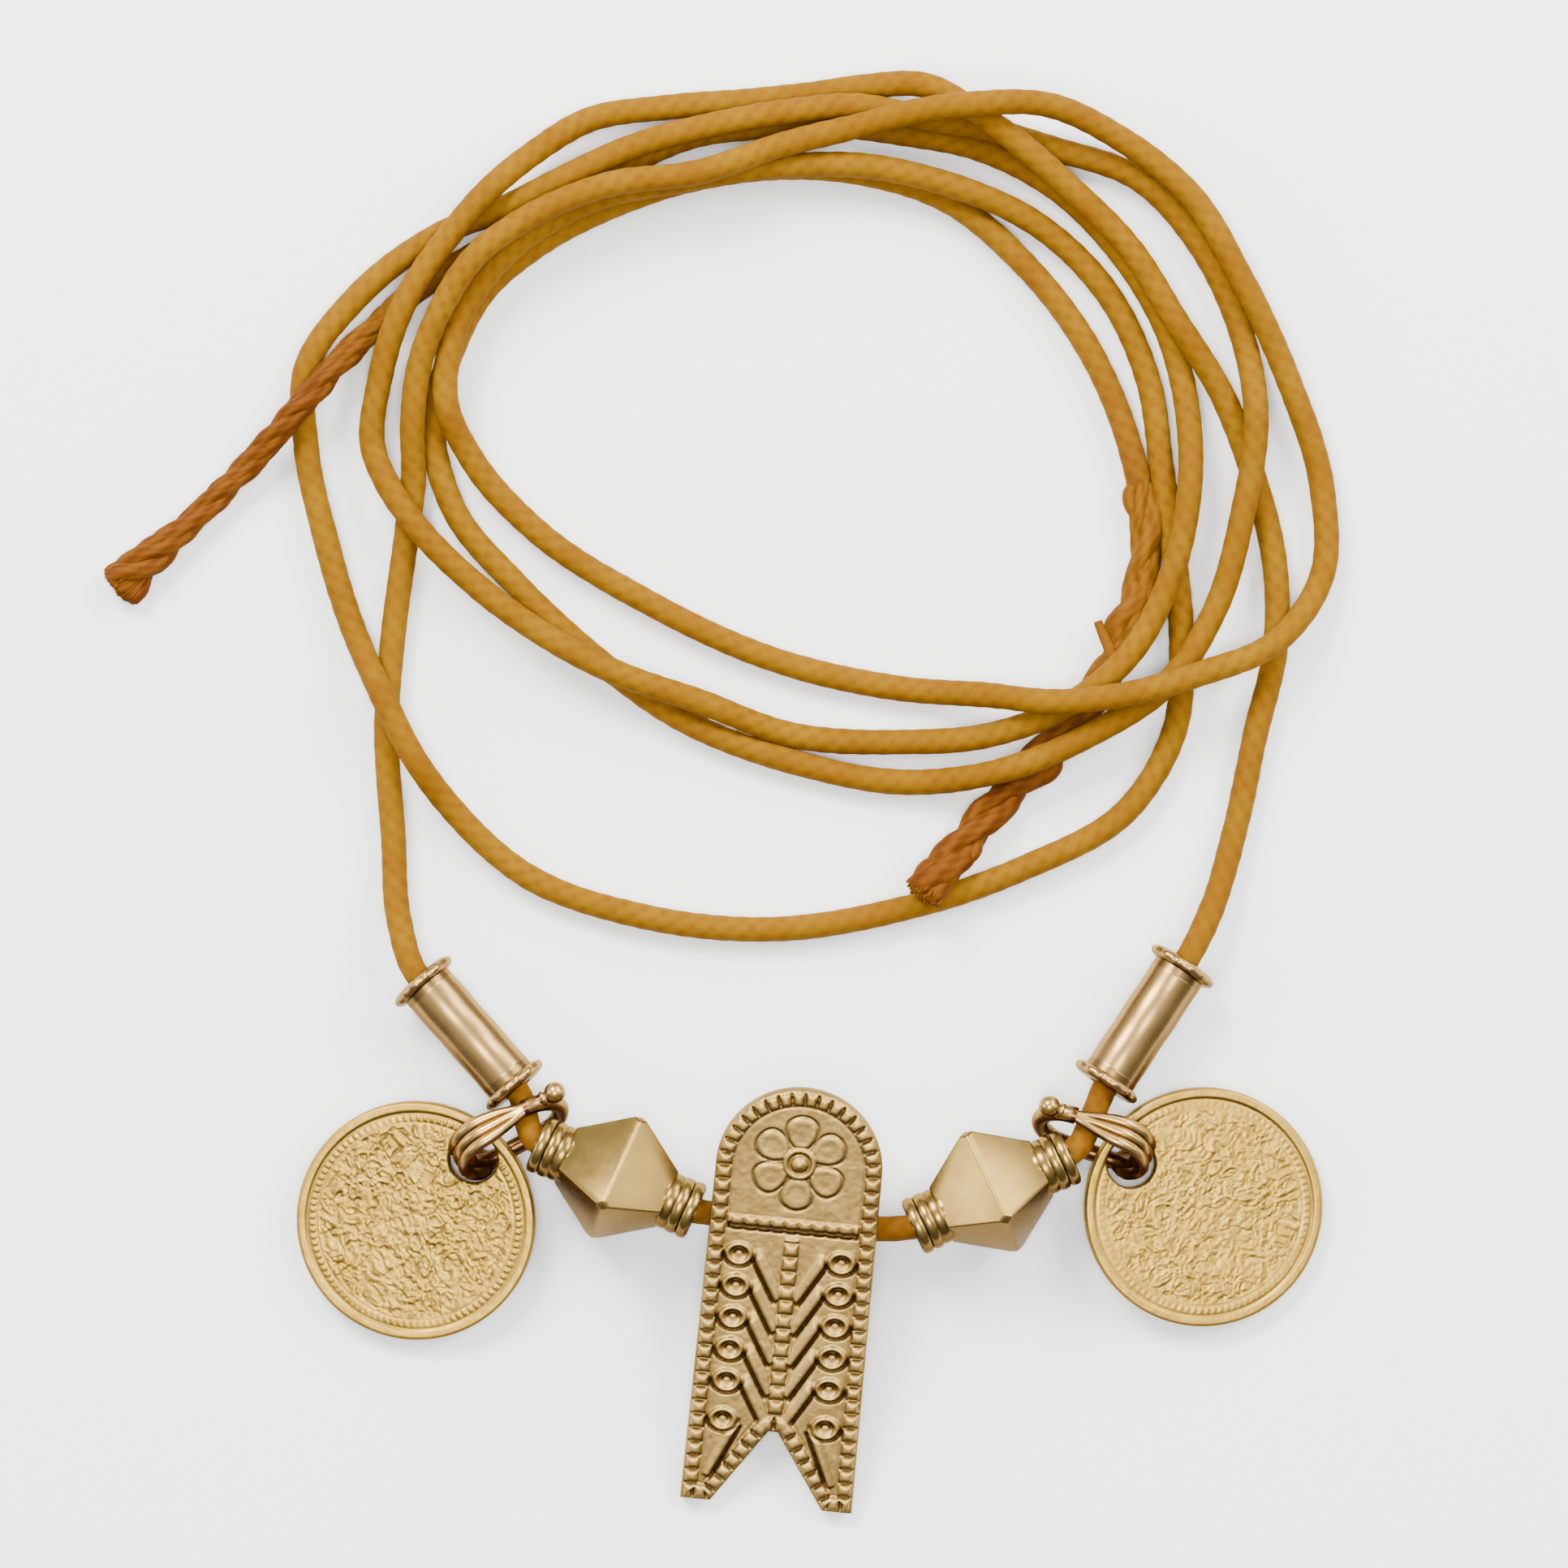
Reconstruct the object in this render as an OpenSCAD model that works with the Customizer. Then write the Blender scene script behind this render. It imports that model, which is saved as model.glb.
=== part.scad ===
// Thali necklace lying loose on a flat surface: two coins, two faceted beads, two tube beads
// and a two-tailed pendant on one long cotton cord.
// Frame: X to the right, Y away from the pendant's tails, Z up, the surface at z = 0.

/* [Cord] */
// thickness of the cotton cord
cord_d = 1.9; // [1.5:0.1:1.9]
// bore of the beads and tubes that the cord runs through
bore_d = 2.4; // [2.2:0.1:2.6]

/* [Pendant] */
// width of the plate across its straight sides
plate_w = 12.4; // [12:0.1:12.6]
// thickness of the plate without its relief
plate_t = 1.1; // [0.9:0.1:1.4]
// height of the relief above the plate
relief_h = 0.45; // [0.3:0.05:0.6]
// pitch of the grains in the beaded border
grain_pitch = 1.03; // [0.95:0.01:1.2]
// rise of the plate where the cord passes behind it, as a tilt in degrees
plate_tilt = 15; // [14:0.5:15.5]

/* [Coins] */
// diameter of a coin
coin_d = 17.9; // [17.4:0.1:18.1]
// thickness of a coin without its relief
coin_t = 1.2; // [1:0.1:1.3]
// height of the coin's rim and relief
coin_relief = 0.25; // [0.15:0.05:0.35]
// number of denticles round the rim
denticles = 72; // [48:4:84]

/* [Faceted beads] */
// width of the square waist across its flats
waist_w = 8; // [7.6:0.1:8.1]
// width across the cut corners of the waist
corner_w = 10.5; // [10:0.1:10.6]
// length of a bead over its collars
bead_l = 13; // [12.6:0.1:13]
// diameter of the collar rings
collar_d = 4.6; // [4.2:0.1:4.6]

/* [Tube beads] */
// diameter of the plain tube
tube_d = 4.1; // [3.6:0.1:4.2]
// diameter of the rolled rim at each end
flange_d = 5.3; // [4.8:0.1:5.3]
// length of a tube bead
tube_l = 11.2; // [10.8:0.1:11.2]

/* [Bails] */
// thickness of the bail's wire
wire_d = 1.3; // [1.1:0.1:1.4]
// width of the ribbed band on top of the bail
band_w = 2.6; // [2.2:0.1:2.7]
// diameter of the ball on the bail's tip
ball_d = 1.9; // [1.6:0.1:2]

/* [Hidden] */
$fn = 32;

// places and turns of the pieces
pendant_at = [-1.05, 0.6];
pendant_turn = -5.6;
tail_y = -21.8;
plate_z = -tail_y * sin(plate_tilt);
coin_at_l = [-29.2, 0.8];
coin_at_r = [29.5, 1.8];
hole_r = 6.4;
hole_d = 3.6;
bail_at_l = [-23.65, 6.55, 3.4];
bail_at_r = [22.85, 6.4, 3.4];
bead_at_l = [-14.25, 4.05, 5.05];
bead_at_r = [13.7, 3, 5.05];
tube_at_l = [-25.3, 14.75, 3.05];
tube_at_r = [25.15, 15.45, 3.05];

// route of the left stretch: up the left leg and over the top
left_pts = concat(
  [[-27.94, 17.75, 2.77], [-29.26, 19.25, 2.63], [-30.5, 23, 1.9], [-31, 29.5, 1], [-31.5, 37.5, 1], [-31, 44.5, 1],
   [-30, 52, 1], [-29.5, 56, 1.2], [-29.5, 60.5, 2.6], [-29, 64.5, 3.3], [-27.5, 68.5, 4.2],
   [-24.5, 73, 4.8], [-21, 75.5, 4.9], [-15, 78, 4.9], [-8, 79, 4.9], [-2, 81, 4.2],
   [4, 82.5, 4.1], [8, 83.5, 4.9], [12.5, 84, 6.1]],
  // down the right side and back along the bottom
  [[18, 84, 4.2], [23.5, 81.5, 2.6], [28.5, 77.5, 2.5], [32.5, 71, 2.4], [36, 63.5, 1.5],
   [38.5, 55.5, 1], [38.5, 49, 1.3], [35, 44, 3.2], [29, 41.5, 4.7], [23.5, 40, 5],
   [18.5, 39.5, 4.8], [13.5, 40, 2.8], [7, 40.5, 1], [-2, 42.5, 1], [-12, 47, 1]],
  // up the left side and over the top again
  [[-20.5, 52.5, 1], [-25, 57.5, 1.6], [-27, 62, 2.9], [-26, 68, 2.9], [-22.5, 73, 2.9],
   [-16, 77, 2.9], [-9, 78.5, 2.9], [-2, 79.5, 2.9], [4.5, 79.5, 2.9], [11, 78, 2.9]],
  // inner right side and the lowest run of the bottom
  [[17.5, 75, 1.3], [22.5, 70, 1], [25.5, 63.5, 1], [26.5, 57, 1], [27.5, 50, 1],
   [28, 43.5, 1], [27.5, 37.5, 1], [24, 31.5, 1], [16, 27, 1], [7, 24, 1], [-2.5, 22.5, 1],
   [-12.5, 23.5, 1], [-21, 26.5, 1]],
  // outer left side and the middle of the top
  [[-27, 32, 1.6], [-29.5, 35.5, 2.9], [-32, 40.5, 2.9], [-34, 45, 1.2], [-36, 51.5, 1],
   [-37.5, 58.5, 1], [-37.5, 64.5, 1], [-34, 69.5, 1], [-27.5, 74.5, 1], [-22.5, 76.5, 2],
   [-18.5, 78.5, 2.9], [-13, 81, 2.9], [-7.5, 82.5, 2.9], [-2, 83.5, 3], [4, 84, 2.6],
   [9, 83, 2.5], [12.5, 82.5, 2.4]],
  // third run down the right side and along the bottom
  [[18, 81, 1], [25, 78.5, 1], [29.5, 73.5, 1], [32.5, 67, 1.1], [33.5, 60.5, 3],
   [32.5, 53.5, 2.9], [30.5, 46.5, 2.6], [27, 41, 2.9], [21, 37, 2.9], [15, 34.5, 2.9],
   [7, 33.5, 1], [-1, 35, 1], [-9, 38, 1], [-15.5, 42.5, 1]],
  // last run up the left side, over the top and down to the tail's end
  [[-21.5, 48, 1], [-26.5, 54, 1], [-28, 60, 1], [-26.5, 66, 1], [-24, 70.5, 1],
   [-20.5, 73.5, 1], [-16, 76, 1], [-9, 78.5, 1], [-2, 79.5, 1], [4.5, 79, 1], [10.5, 77, 1],
   [16, 72.5, 1], [21, 66, 1], [24, 59, 1], [25, 52, 1], [23, 44.5, 1], [19.5, 37, 1],
   [15, 32, 1], [8.5, 25, 3]]);

// route of the right stretch: up the right leg, over the top and down the left side
right_pts = concat(
  [[27.35, 18.77, 2.77], [28.45, 20.43, 2.63], [30, 23.5, 1.9], [32, 30, 1], [33.5, 37, 1], [35, 43.5, 1],
   [35, 49.5, 1], [33.5, 56, 1], [31, 62.5, 1.5], [27.5, 68, 2.9], [24, 73.5, 2.9],
   [19.5, 78, 3], [16, 81, 3.8], [12.5, 83.5, 4.2], [9, 85.5, 2.8], [4, 85.5, 1],
   [0.5, 85, 1], [-4, 84.5, 1], [-10.5, 84, 1], [-16.5, 83, 1], [-20.5, 80.5, 2.3],
   [-24, 77.5, 3.6], [-27, 74, 3.1], [-30, 69.5, 3.1], [-32, 63.5, 2]],
  // along the bottom and up the right side
  [[-32.5, 58.5, 1.6], [-31.5, 56, 2.7], [-29.5, 53, 3.1], [-24.5, 48, 2.4], [-15, 42, 3],
   [-8, 39.5, 2.6], [-1, 37, 1], [7, 36.5, 1], [13.5, 37, 1.6], [19, 39, 2.9],
   [24, 43, 2.9], [27, 48.5, 2.9], [28.5, 55, 2.8], [28.5, 60.5, 1.6], [27, 67, 1],
   [23.5, 73, 1], [18.5, 78, 1], [12.5, 81, 1]],
  // under the top runs and out to the tail's end on the left
  [[7.5, 82, 1], [4, 82.5, 1], [0.5, 83, 1], [-4, 82.5, 1], [-8, 82, 1], [-14, 79.5, 1],
   [-19, 76.5, 1], [-24, 73.5, 1], [-29, 70.5, 1], [-33, 67, 1], [-37.5, 62, 3.2],
   [-42.5, 56.5, 1.3], [-50.5, 49, 1]]);

// route of the middle stretch, through the tubes, the beads and the pendant's bail
middle_pts = [
  [-27.94, 17.75, 2.77], [-25.3, 14.75, 3.05], [-22, 11, 3.4], [-21.35, 9.9, 3.6],
  [-21.05, 8.7, 3.95], [-20.8, 7.7, 4.4], [-20.4, 6.95, 4.75], [-19.3, 6.25, 4.9],
  [-14.25, 4.05, 5.05], [-8.7, 1.65, 5.2], [-7, 1.35, 4.65], [-5.4, 1.3, 4.4],
  [-1, 0.95, 4.4], [3.2, 0.5, 4.4], [5.4, 0.2, 4.6], [8.2, 0.45, 5.15], [13.7, 3, 5.05],
  [19.1, 5.5, 4.9], [20.3, 6.5, 4.6], [21, 7.9, 4], [21.7, 9.6, 3.6],
  [22.5, 11.45, 3.4], [25.15, 15.45, 3.05], [27.35, 18.77, 2.77]];

SIDES = 8;

function unit(v) = v / max(norm(v), 1e-6);
function dir_at(p, i) =
  i == 0 ? unit(p[1] - p[0])
  : i == len(p) - 1 ? unit(p[i] - p[i - 1])
  : unit(unit(p[i + 1] - p[i]) + unit(p[i] - p[i - 1]));
function side_at(p, i) = unit(cross([0, 0, 1], dir_at(p, i)));
function up_at(p, i) = cross(dir_at(p, i), side_at(p, i));

// one closed tube of diameter d, a ring of SIDES corners at each route point
module cord_tube(p, d) {
  n = len(p);
  rings = [for (i = [0 : n - 1]) for (k = [0 : SIDES - 1])
    p[i] + d / 2 * (cos(360 * (k + 0.5) / SIDES) * side_at(p, i)
    + sin(360 * (k + 0.5) / SIDES) * up_at(p, i))];
  quads = [for (i = [0 : n - 2]) for (k = [0 : SIDES - 1])
    let(a = i * SIDES + k, b = i * SIDES + (k + 1) % SIDES)
    each [[a, a + SIDES, b], [b, a + SIDES, b + SIDES]]];
  caps = [[for (k = [0 : SIDES - 1]) k],
    [for (k = [SIDES - 1 : -1 : 0]) (n - 1) * SIDES + k]];
  polyhedron(points = rings, faces = concat(quads, caps));
}

module cord_left() color("goldenrod") cord_tube(left_pts, cord_d);
module cord_right() color("goldenrod") cord_tube(right_pts, cord_d);
module cord_middle() color("goldenrod") cord_tube(middle_pts, cord_d);

// tube bead: a plain tube with a rolled rim at each end, along x
module tube_bead() {
  difference() {
    union() {
      rotate([0, 90, 0]) cylinder(d = tube_d, h = tube_l - 0.4, center = true);
      for (s = [-1, 1]) translate([s * (tube_l / 2 - 0.45), 0, 0]) rotate([0, 90, 0]) {
        cylinder(d = flange_d, h = 0.5, center = true);
        cylinder(d = flange_d - 0.5, h = 0.9, center = true);
      }
      for (s = [-1, 1]) translate([s * (tube_l / 2 - 1.1), 0, 0]) rotate([0, 90, 0])
        cylinder(d = tube_d + 0.35, h = 0.5, center = true);
    }
    rotate([0, 90, 0]) cylinder(d = bore_d, h = tube_l + 2, center = true);
  }
}

module tube_left() color("tan")
  translate(tube_at_l) rotate([0, 0, -48.6]) rotate([0, -4, 0]) tube_bead();
module tube_right() color("tan")
  translate(tube_at_r) rotate([0, 0, 56.5]) rotate([0, 4, 0]) tube_bead();

// faceted bead: square waist, four flat facets to each end, ribbed collars, along x
facet_a = 28.3;
body_h = 4.15;
module bead_body() {
  intersection() {
    cube([2 * body_h, corner_w + 2, corner_w + 2], center = true);
    rotate([45, 0, 0]) cube([2 * body_h + 2, corner_w, corner_w], center = true);
    rotate([0, 0, facet_a]) cube([30, waist_w * cos(facet_a), 30], center = true);
    rotate([0, 0, -facet_a]) cube([30, waist_w * cos(facet_a), 30], center = true);
    rotate([0, facet_a, 0]) cube([30, 30, waist_w * cos(facet_a)], center = true);
    rotate([0, -facet_a, 0]) cube([30, 30, waist_w * cos(facet_a)], center = true);
  }
}
module collar() {
  rotate([0, 90, 0]) {
    cylinder(d = collar_d - 0.5, h = bead_l / 2 - 3.6);
    translate([0, 0, 0.55]) cylinder(d = collar_d - 0.1, h = 0.55);
    translate([0, 0, 1.4]) cylinder(d = collar_d, h = 0.55);
    translate([0, 0, bead_l / 2 - 4.15]) cylinder(d = collar_d, h = 0.55);
  }
}
module faceted_bead(turn) {
  difference() {
    union() {
      rotate([turn, 0, 0]) bead_body();
      translate([3.6, 0, 0]) collar();
      mirror([1, 0, 0]) translate([3.6, 0, 0]) collar();
    }
    rotate([0, 90, 0]) cylinder(d = bore_d, h = bead_l + 4, center = true);
  }
}
module bead_left() color("tan")
  translate(bead_at_l) rotate([0, 0, -23.6]) rotate([0, -1.5, 0]) faceted_bead(-20.5);
module bead_right() color("tan")
  translate(bead_at_r) rotate([0, 0, 24.7]) rotate([0, 1.5, 0]) faceted_bead(-20.5);

// coin: disc with a raised rim, denticles and a worn flower, hole towards +x
module coin() {
  r = coin_d / 2;
  difference() {
    union() {
      cylinder(d = coin_d, h = coin_t, $fn = 96);
      translate([0, 0, coin_t - 0.2]) difference() {
        cylinder(r = r - 0.05, h = coin_relief + 0.2, $fn = 96);
        translate([0, 0, -1]) cylinder(r = r - 0.85, h = 3, $fn = 96);
      }
      for (i = [0 : denticles - 1]) rotate([0, 0, i * 360 / denticles])
        translate([r - 1.5, -0.16, coin_t - 0.2]) cube([0.5, 0.32, 0.2 + coin_relief * 0.7]);
      translate([0, 0, coin_t - 0.2]) difference() {
        cylinder(r = 4.85, h = 0.2 + coin_relief * 0.6, $fn = 64);
        translate([0, 0, -1]) cylinder(r = 4.6, h = 3, $fn = 64);
      }
      for (i = [0 : 7]) rotate([0, 0, i * 45 + 22.5]) translate([2.75, 0, coin_t - 0.2])
        difference() {
          cylinder(r = 1.15, h = 0.2 + coin_relief * 0.8, $fn = 24);
          translate([0, 0, -1]) cylinder(r = 0.75, h = 3, $fn = 24);
        }
      cylinder(r = 1.2, h = coin_t + coin_relief, $fn = 24);
    }
    translate([hole_r, 0, -2]) cylinder(d = hole_d, h = 6);
  }
}
module placed_coin(at, turn) {
  tilt = asin(1.9 / (coin_d / 2 + hole_r));
  translate([at[0], at[1], 0]) rotate([0, 0, turn])
    translate([0, 0, coin_d / 2 * sin(tilt)]) rotate([0, -tilt, 0]) coin();
}
module coin_left() color("burlywood") placed_coin(coin_at_l, 47);
module coin_right() color("burlywood") placed_coin(coin_at_r, 149);

// bail: a standing ring with a ribbed band, a neck and a ball, drawn in the xz plane
ring_r = 2.4;
ring_l = 3.4;
rib_r = band_w / 6 + 0.02;
module band_profile() {
  for (k = [-1 : 1]) translate([0, k * band_w / 3]) circle(r = rib_r, $fn = 16);
  translate([-0.3, -band_w / 2 + 0.2]) square([0.5, band_w - 0.4]);
}
module bail(ball_x) {
  // ribbed band over the upper left quarter and the start of the top
  rotate([90, 0, 0]) rotate([0, 0, 90]) rotate_extrude(angle = 62, $fn = 48)
    translate([ring_r, 0]) band_profile();
  translate([0, 0, ring_r]) rotate([90, 0, 90]) linear_extrude(1.6)
    rotate([0, 0, 90]) band_profile();
  // flat run over the cord, neck and ball
  translate([1.2, -0.7, ring_r - 0.35]) cube([ball_x - 2.75, 1.4, 0.7]);
  translate([ball_x - 1.75, 0, ring_r]) rotate([0, 90, 0]) cylinder(d = 0.9, h = 1.6);
  translate([ball_x - 1.3, 0, ring_r]) rotate([0, 90, 0]) cylinder(d = 1.3, h = 0.4);
  translate([ball_x, 0, ring_r]) sphere(d = ball_d);
  // round wire under the coin's edge and the cord, and back up
  rotate([90, 0, 0]) rotate([0, 0, 145]) rotate_extrude(angle = 125, $fn = 48)
    translate([ring_r, 0]) circle(d = wire_d, $fn = 24);
  translate([-0.3, 0, -ring_r]) rotate([0, 90, 0])
    cylinder(d = wire_d + 0.06, h = ring_l + 0.6, $fn = 24);
  translate([ring_l, 0, 0]) rotate([90, 0, 0]) rotate([0, 0, -90])
    rotate_extrude(angle = 180, $fn = 48)
    translate([ring_r, 0]) circle(d = wire_d, $fn = 24);
}
module bail_left() color("peru")
  translate(bail_at_l) rotate([0, 0, 28]) rotate([-28, 0, 0]) bail(6.05);
module bail_right() color("peru")
  translate(bail_at_r) rotate([0, 0, -20]) rotate([-28, 0, 0]) mirror([1, 0, 0]) bail(5.55);

// pendant: arched plate with two tails, drawn flat with the relief facing up
arch_r = plate_w / 2;
arch_y = 4.5;
tail_x = plate_w / 2 + 0.25;
notch_y = -16;
module plate_2d() {
  difference() {
    union() {
      translate([0, arch_y]) circle(r = arch_r, $fn = 96);
      polygon([[-arch_r, arch_y], [-tail_x, tail_y], [tail_x, tail_y], [arch_r, arch_y]]);
    }
    polygon([[-4.2, tail_y - 0.1], [-0.35, notch_y], [0.35, notch_y], [4.2, tail_y - 0.1]]);
  }
}
module grain(x, y, a, w) {
  translate([x, y, plate_t - 0.3]) rotate([0, 0, a])
    translate([-w / 2, -grain_pitch * 0.37, 0]) cube([w, grain_pitch * 0.74, 0.3 + relief_h]);
}
module ring_curl(x, y) {
  translate([x, y, plate_t - 0.3]) difference() {
    cylinder(r = 0.95, h = 0.3 + relief_h * 0.8, $fn = 24);
    translate([0, 0, -1]) cylinder(r = 0.42, h = 3, $fn = 16);
  }
}
module strip(a, b, w, h) {
  v = b - a;
  translate([a[0], a[1], plate_t - 0.3]) rotate([0, 0, atan2(v[1], v[0])])
    translate([0, -w / 2, 0]) cube([norm(v), w, 0.3 + h]);
}
module pendant_relief() {
  side_n = floor((arch_y - tail_y - 1) / grain_pitch);
  arch_n = floor(3.1416 * (arch_r - 0.85) / grain_pitch) - 1;
  for (s = [-1, 1]) {
    for (i = [0 : side_n])
      grain(s * (arch_r - 0.85 + 0.25 * i / side_n), arch_y - i * grain_pitch, 0, 0.85);
    for (i = [0 : 4]) {
      ring_curl(s * 3.85, -2.3 - i * 2.5);
      strip([s * 3, -2.9 - i * 2.45], [s * 0.85, -5.9 - i * 2.4], 0.9, relief_h * 0.8);
    }
    ring_curl(s * 3.9, -15.15);
    strip([s * 3.1, -15.7], [s * 4.7, -19.6], 0.9, relief_h * 0.8);
    for (i = [0 : 6])
      grain(s * (0.5 + i * 0.62), -15 - i * 0.9, s * -56, 0.85);
    grain(s * 5.25, -20.75, 90, 0.85);
  }
  for (i = [1 : arch_n])
    let(a = 180 * i / (arch_n + 1))
      grain((arch_r - 0.85) * cos(a), arch_y + (arch_r - 0.85) * sin(a), a, 0.85);
  for (i = [-4.5 : 4.5]) grain(i * grain_pitch, 0, 90, 0.8);
  for (i = [0 : 11]) grain(0, -1.2 - i * grain_pitch * 1.02, 0, 1.15);
  // six-petalled flower with a round centre
  translate([0, 5, plate_t - 0.3]) {
    cylinder(r = 1.15, h = 0.3 + relief_h * 0.5, $fn = 24);
    translate([0, 0, 0.15]) sphere(r = 0.9, $fn = 24);
    for (i = [0 : 5]) rotate([0, 0, i * 60 + 30]) translate([2.4, 0, 0]) difference() {
      cylinder(r = 1.15, h = 0.3 + relief_h * 0.5, $fn = 24);
      translate([0, 0, -1]) cylinder(r = 0.85, h = 3, $fn = 24);
    }
  }
}
module pendant() color("tan") {
  translate([pendant_at[0], pendant_at[1], 0]) rotate([0, 0, pendant_turn])
    translate([0, 0, plate_z]) rotate([plate_tilt, 0, 0]) {
      linear_extrude(plate_t) plate_2d();
      pendant_relief();
      // plain tube on the back for the cord
      translate([0, 0, -1.3]) rotate([0, 90, 0]) difference() {
        cylinder(d = bore_d + 0.8, h = 7.6, center = true);
        cylinder(d = bore_d, h = 9, center = true);
      }
    }
}

pendant();
coin_left();
coin_right();
bail_left();
bail_right();
bead_left();
bead_right();
tube_left();
tube_right();
cord_left();
cord_middle();
cord_right();
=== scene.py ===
import math

import bmesh
import bpy
import numpy as np
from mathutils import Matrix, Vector


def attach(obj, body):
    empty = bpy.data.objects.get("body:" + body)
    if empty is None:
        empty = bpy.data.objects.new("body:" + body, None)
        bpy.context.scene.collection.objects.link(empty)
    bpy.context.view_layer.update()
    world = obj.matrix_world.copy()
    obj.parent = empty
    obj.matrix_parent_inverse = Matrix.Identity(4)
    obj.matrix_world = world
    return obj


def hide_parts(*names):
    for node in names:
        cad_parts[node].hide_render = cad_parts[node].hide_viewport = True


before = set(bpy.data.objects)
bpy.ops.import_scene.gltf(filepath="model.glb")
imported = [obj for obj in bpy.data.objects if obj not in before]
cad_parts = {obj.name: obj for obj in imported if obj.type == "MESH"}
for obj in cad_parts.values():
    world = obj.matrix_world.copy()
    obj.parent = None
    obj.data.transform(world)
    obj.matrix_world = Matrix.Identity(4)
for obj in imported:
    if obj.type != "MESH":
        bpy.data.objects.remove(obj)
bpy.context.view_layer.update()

MM = 0.001

# Camera, straight above; ORIGIN_PX is the frame's origin in the photograph
PX_PER_MM = 16.5
IMAGE_PX = 1932
ORIGIN_PX = (995, 1516.5)
LENS, SENSOR = 300.0, 36.0
MIDDLE_HEIGHT = 3.0
cam_data = bpy.data.cameras.new("camera")
cam_data.lens, cam_data.sensor_width = LENS, SENSOR
cam = bpy.data.objects.new("camera", cam_data)
bpy.context.scene.collection.objects.link(cam)
seen_width = IMAGE_PX / PX_PER_MM * MM
cam.location = ((IMAGE_PX / 2 - ORIGIN_PX[0]) / PX_PER_MM * MM,
                (ORIGIN_PX[1] - IMAGE_PX / 2) / PX_PER_MM * MM,
                seen_width * LENS / SENSOR + MIDDLE_HEIGHT * MM)
cam_data.clip_start, cam_data.clip_end = 0.01, 20
bpy.context.scene.camera = cam

# Small maths


def unit(v):
    """Vectors scaled to length 1."""
    v = np.asarray(v, float)
    return v / np.maximum(np.linalg.norm(v, axis=-1, keepdims=True), 1e-9)


def move(x, y, z):
    m = np.eye(4)
    m[:3, 3] = (x, y, z)
    return m


def turn(axis, degrees):
    c, s = math.cos(math.radians(degrees)), math.sin(math.radians(degrees))
    i, j = {"x": (1, 2), "y": (2, 0), "z": (0, 1)}[axis]
    m = np.eye(4)
    m[i, i] = m[j, j] = c
    m[i, j], m[j, i] = -s, s
    return m


def chain(*ms):
    """The product of several 4 x 4 matrices, the last one applied first."""
    out = np.eye(4)
    for m in ms:
        out = out @ m
    return out


def put(m, v):
    """Points moved by a 4 x 4 matrix."""
    return np.asarray(v, float) @ m[:3, :3].T + m[:3, 3]


def smooth_route(points, step):
    """A smooth curve through the points, its height never past theirs."""
    p = np.array(points, float)
    h = np.linalg.norm(np.diff(p, axis=0), axis=1)
    t = np.concatenate([[0], np.cumsum(h)])
    d = np.diff(p, axis=0) / h[:, None]
    m = np.empty_like(p)
    m[1:-1] = (h[:-1, None] * d[1:] + h[1:, None] * d[:-1]) / (h[:-1] + h[1:])[:, None]
    m[0], m[-1] = d[0], d[-1]
    # height: monotone slopes
    dz = d[:, 2]
    same = dz[1:] * dz[:-1] > 0
    w1, w2 = 2 * h[1:] + h[:-1], h[1:] + 2 * h[:-1]
    safe = np.where(same, dz[1:] * dz[:-1], 1)
    m[1:-1, 2] = np.where(same, (w1 + w2) * safe / np.where(same, w1 * dz[1:] + w2 * dz[:-1], 1), 0)
    n = int(round(t[-1] / step))
    s = np.linspace(0, t[-1], n + 1)
    k = np.clip(np.searchsorted(t, s, side="right") - 1, 0, len(h) - 1)
    u = ((s - t[k]) / h[k])[:, None]
    hk = h[k][:, None]
    return ((2 * u**3 - 3 * u**2 + 1) * p[k] + (u**3 - 2 * u**2 + u) * hk * m[k]
            + (-2 * u**3 + 3 * u**2) * p[k + 1] + (u**3 - u**2) * hk * m[k + 1])


def length_along(p):
    """The length of a path up to each of its points."""
    return np.concatenate([[0], np.cumsum(np.linalg.norm(np.diff(p, axis=0), axis=1))])


def wobble(s, scale, seed):
    """Smooth values in about -1 to 1 along a length, one per `scale`."""
    r = np.random.default_rng(seed)
    k = r.uniform(-1, 1, int(s.max() / scale) + 4)
    u = s / scale
    i = u.astype(int)
    f = u - i
    f = f * f * (3 - 2 * f)
    return k[i] * (1 - f) + k[i + 1] * f


def smoothstep(v):
    """0 below 0, 1 above 1 and a soft S between."""
    v = np.clip(v, 0, 1)
    return v * v * (3 - 2 * v)


# Mesh helpers


def ring_quads(count, sides):
    """The quads between neighbouring rings of points."""
    i, k = np.meshgrid(np.arange(count - 1), np.arange(sides), indexing="ij")
    k2 = (k + 1) % sides
    quad = [i * sides + k, i * sides + k2, (i + 1) * sides + k2, (i + 1) * sides + k]
    return np.stack(quad, -1).reshape(-1, 4).tolist()


def end_caps(count, sides):
    """One face on the first ring and one on the last."""
    return [list(range(sides))[::-1], [(count - 1) * sides + q for q in range(sides)]]


def tube(path, radius, sides, ref=(0, 0, 1)):
    """Vertices and faces of a closed tube; radius is one number, one a ring, or one a vertex."""
    path = np.asarray(path, float)
    n = len(path)
    t = unit(np.gradient(path, axis=0))
    side = unit(np.cross(np.asarray(ref, float), t))
    up = np.cross(t, side)
    a = 2 * np.pi * (np.arange(sides) + 0.5) / sides
    if np.ndim(radius) < 2:
        radius = np.asarray(radius, float).reshape(-1, 1)
    r = np.broadcast_to(radius, (n, sides))
    v = path[:, None, :] + r[..., None] * (np.cos(a)[None, :, None] * side[:, None, :]
                                           + np.sin(a)[None, :, None] * up[:, None, :])
    return v.reshape(-1, 3), ring_quads(n, sides) + end_caps(n, sides)


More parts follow.
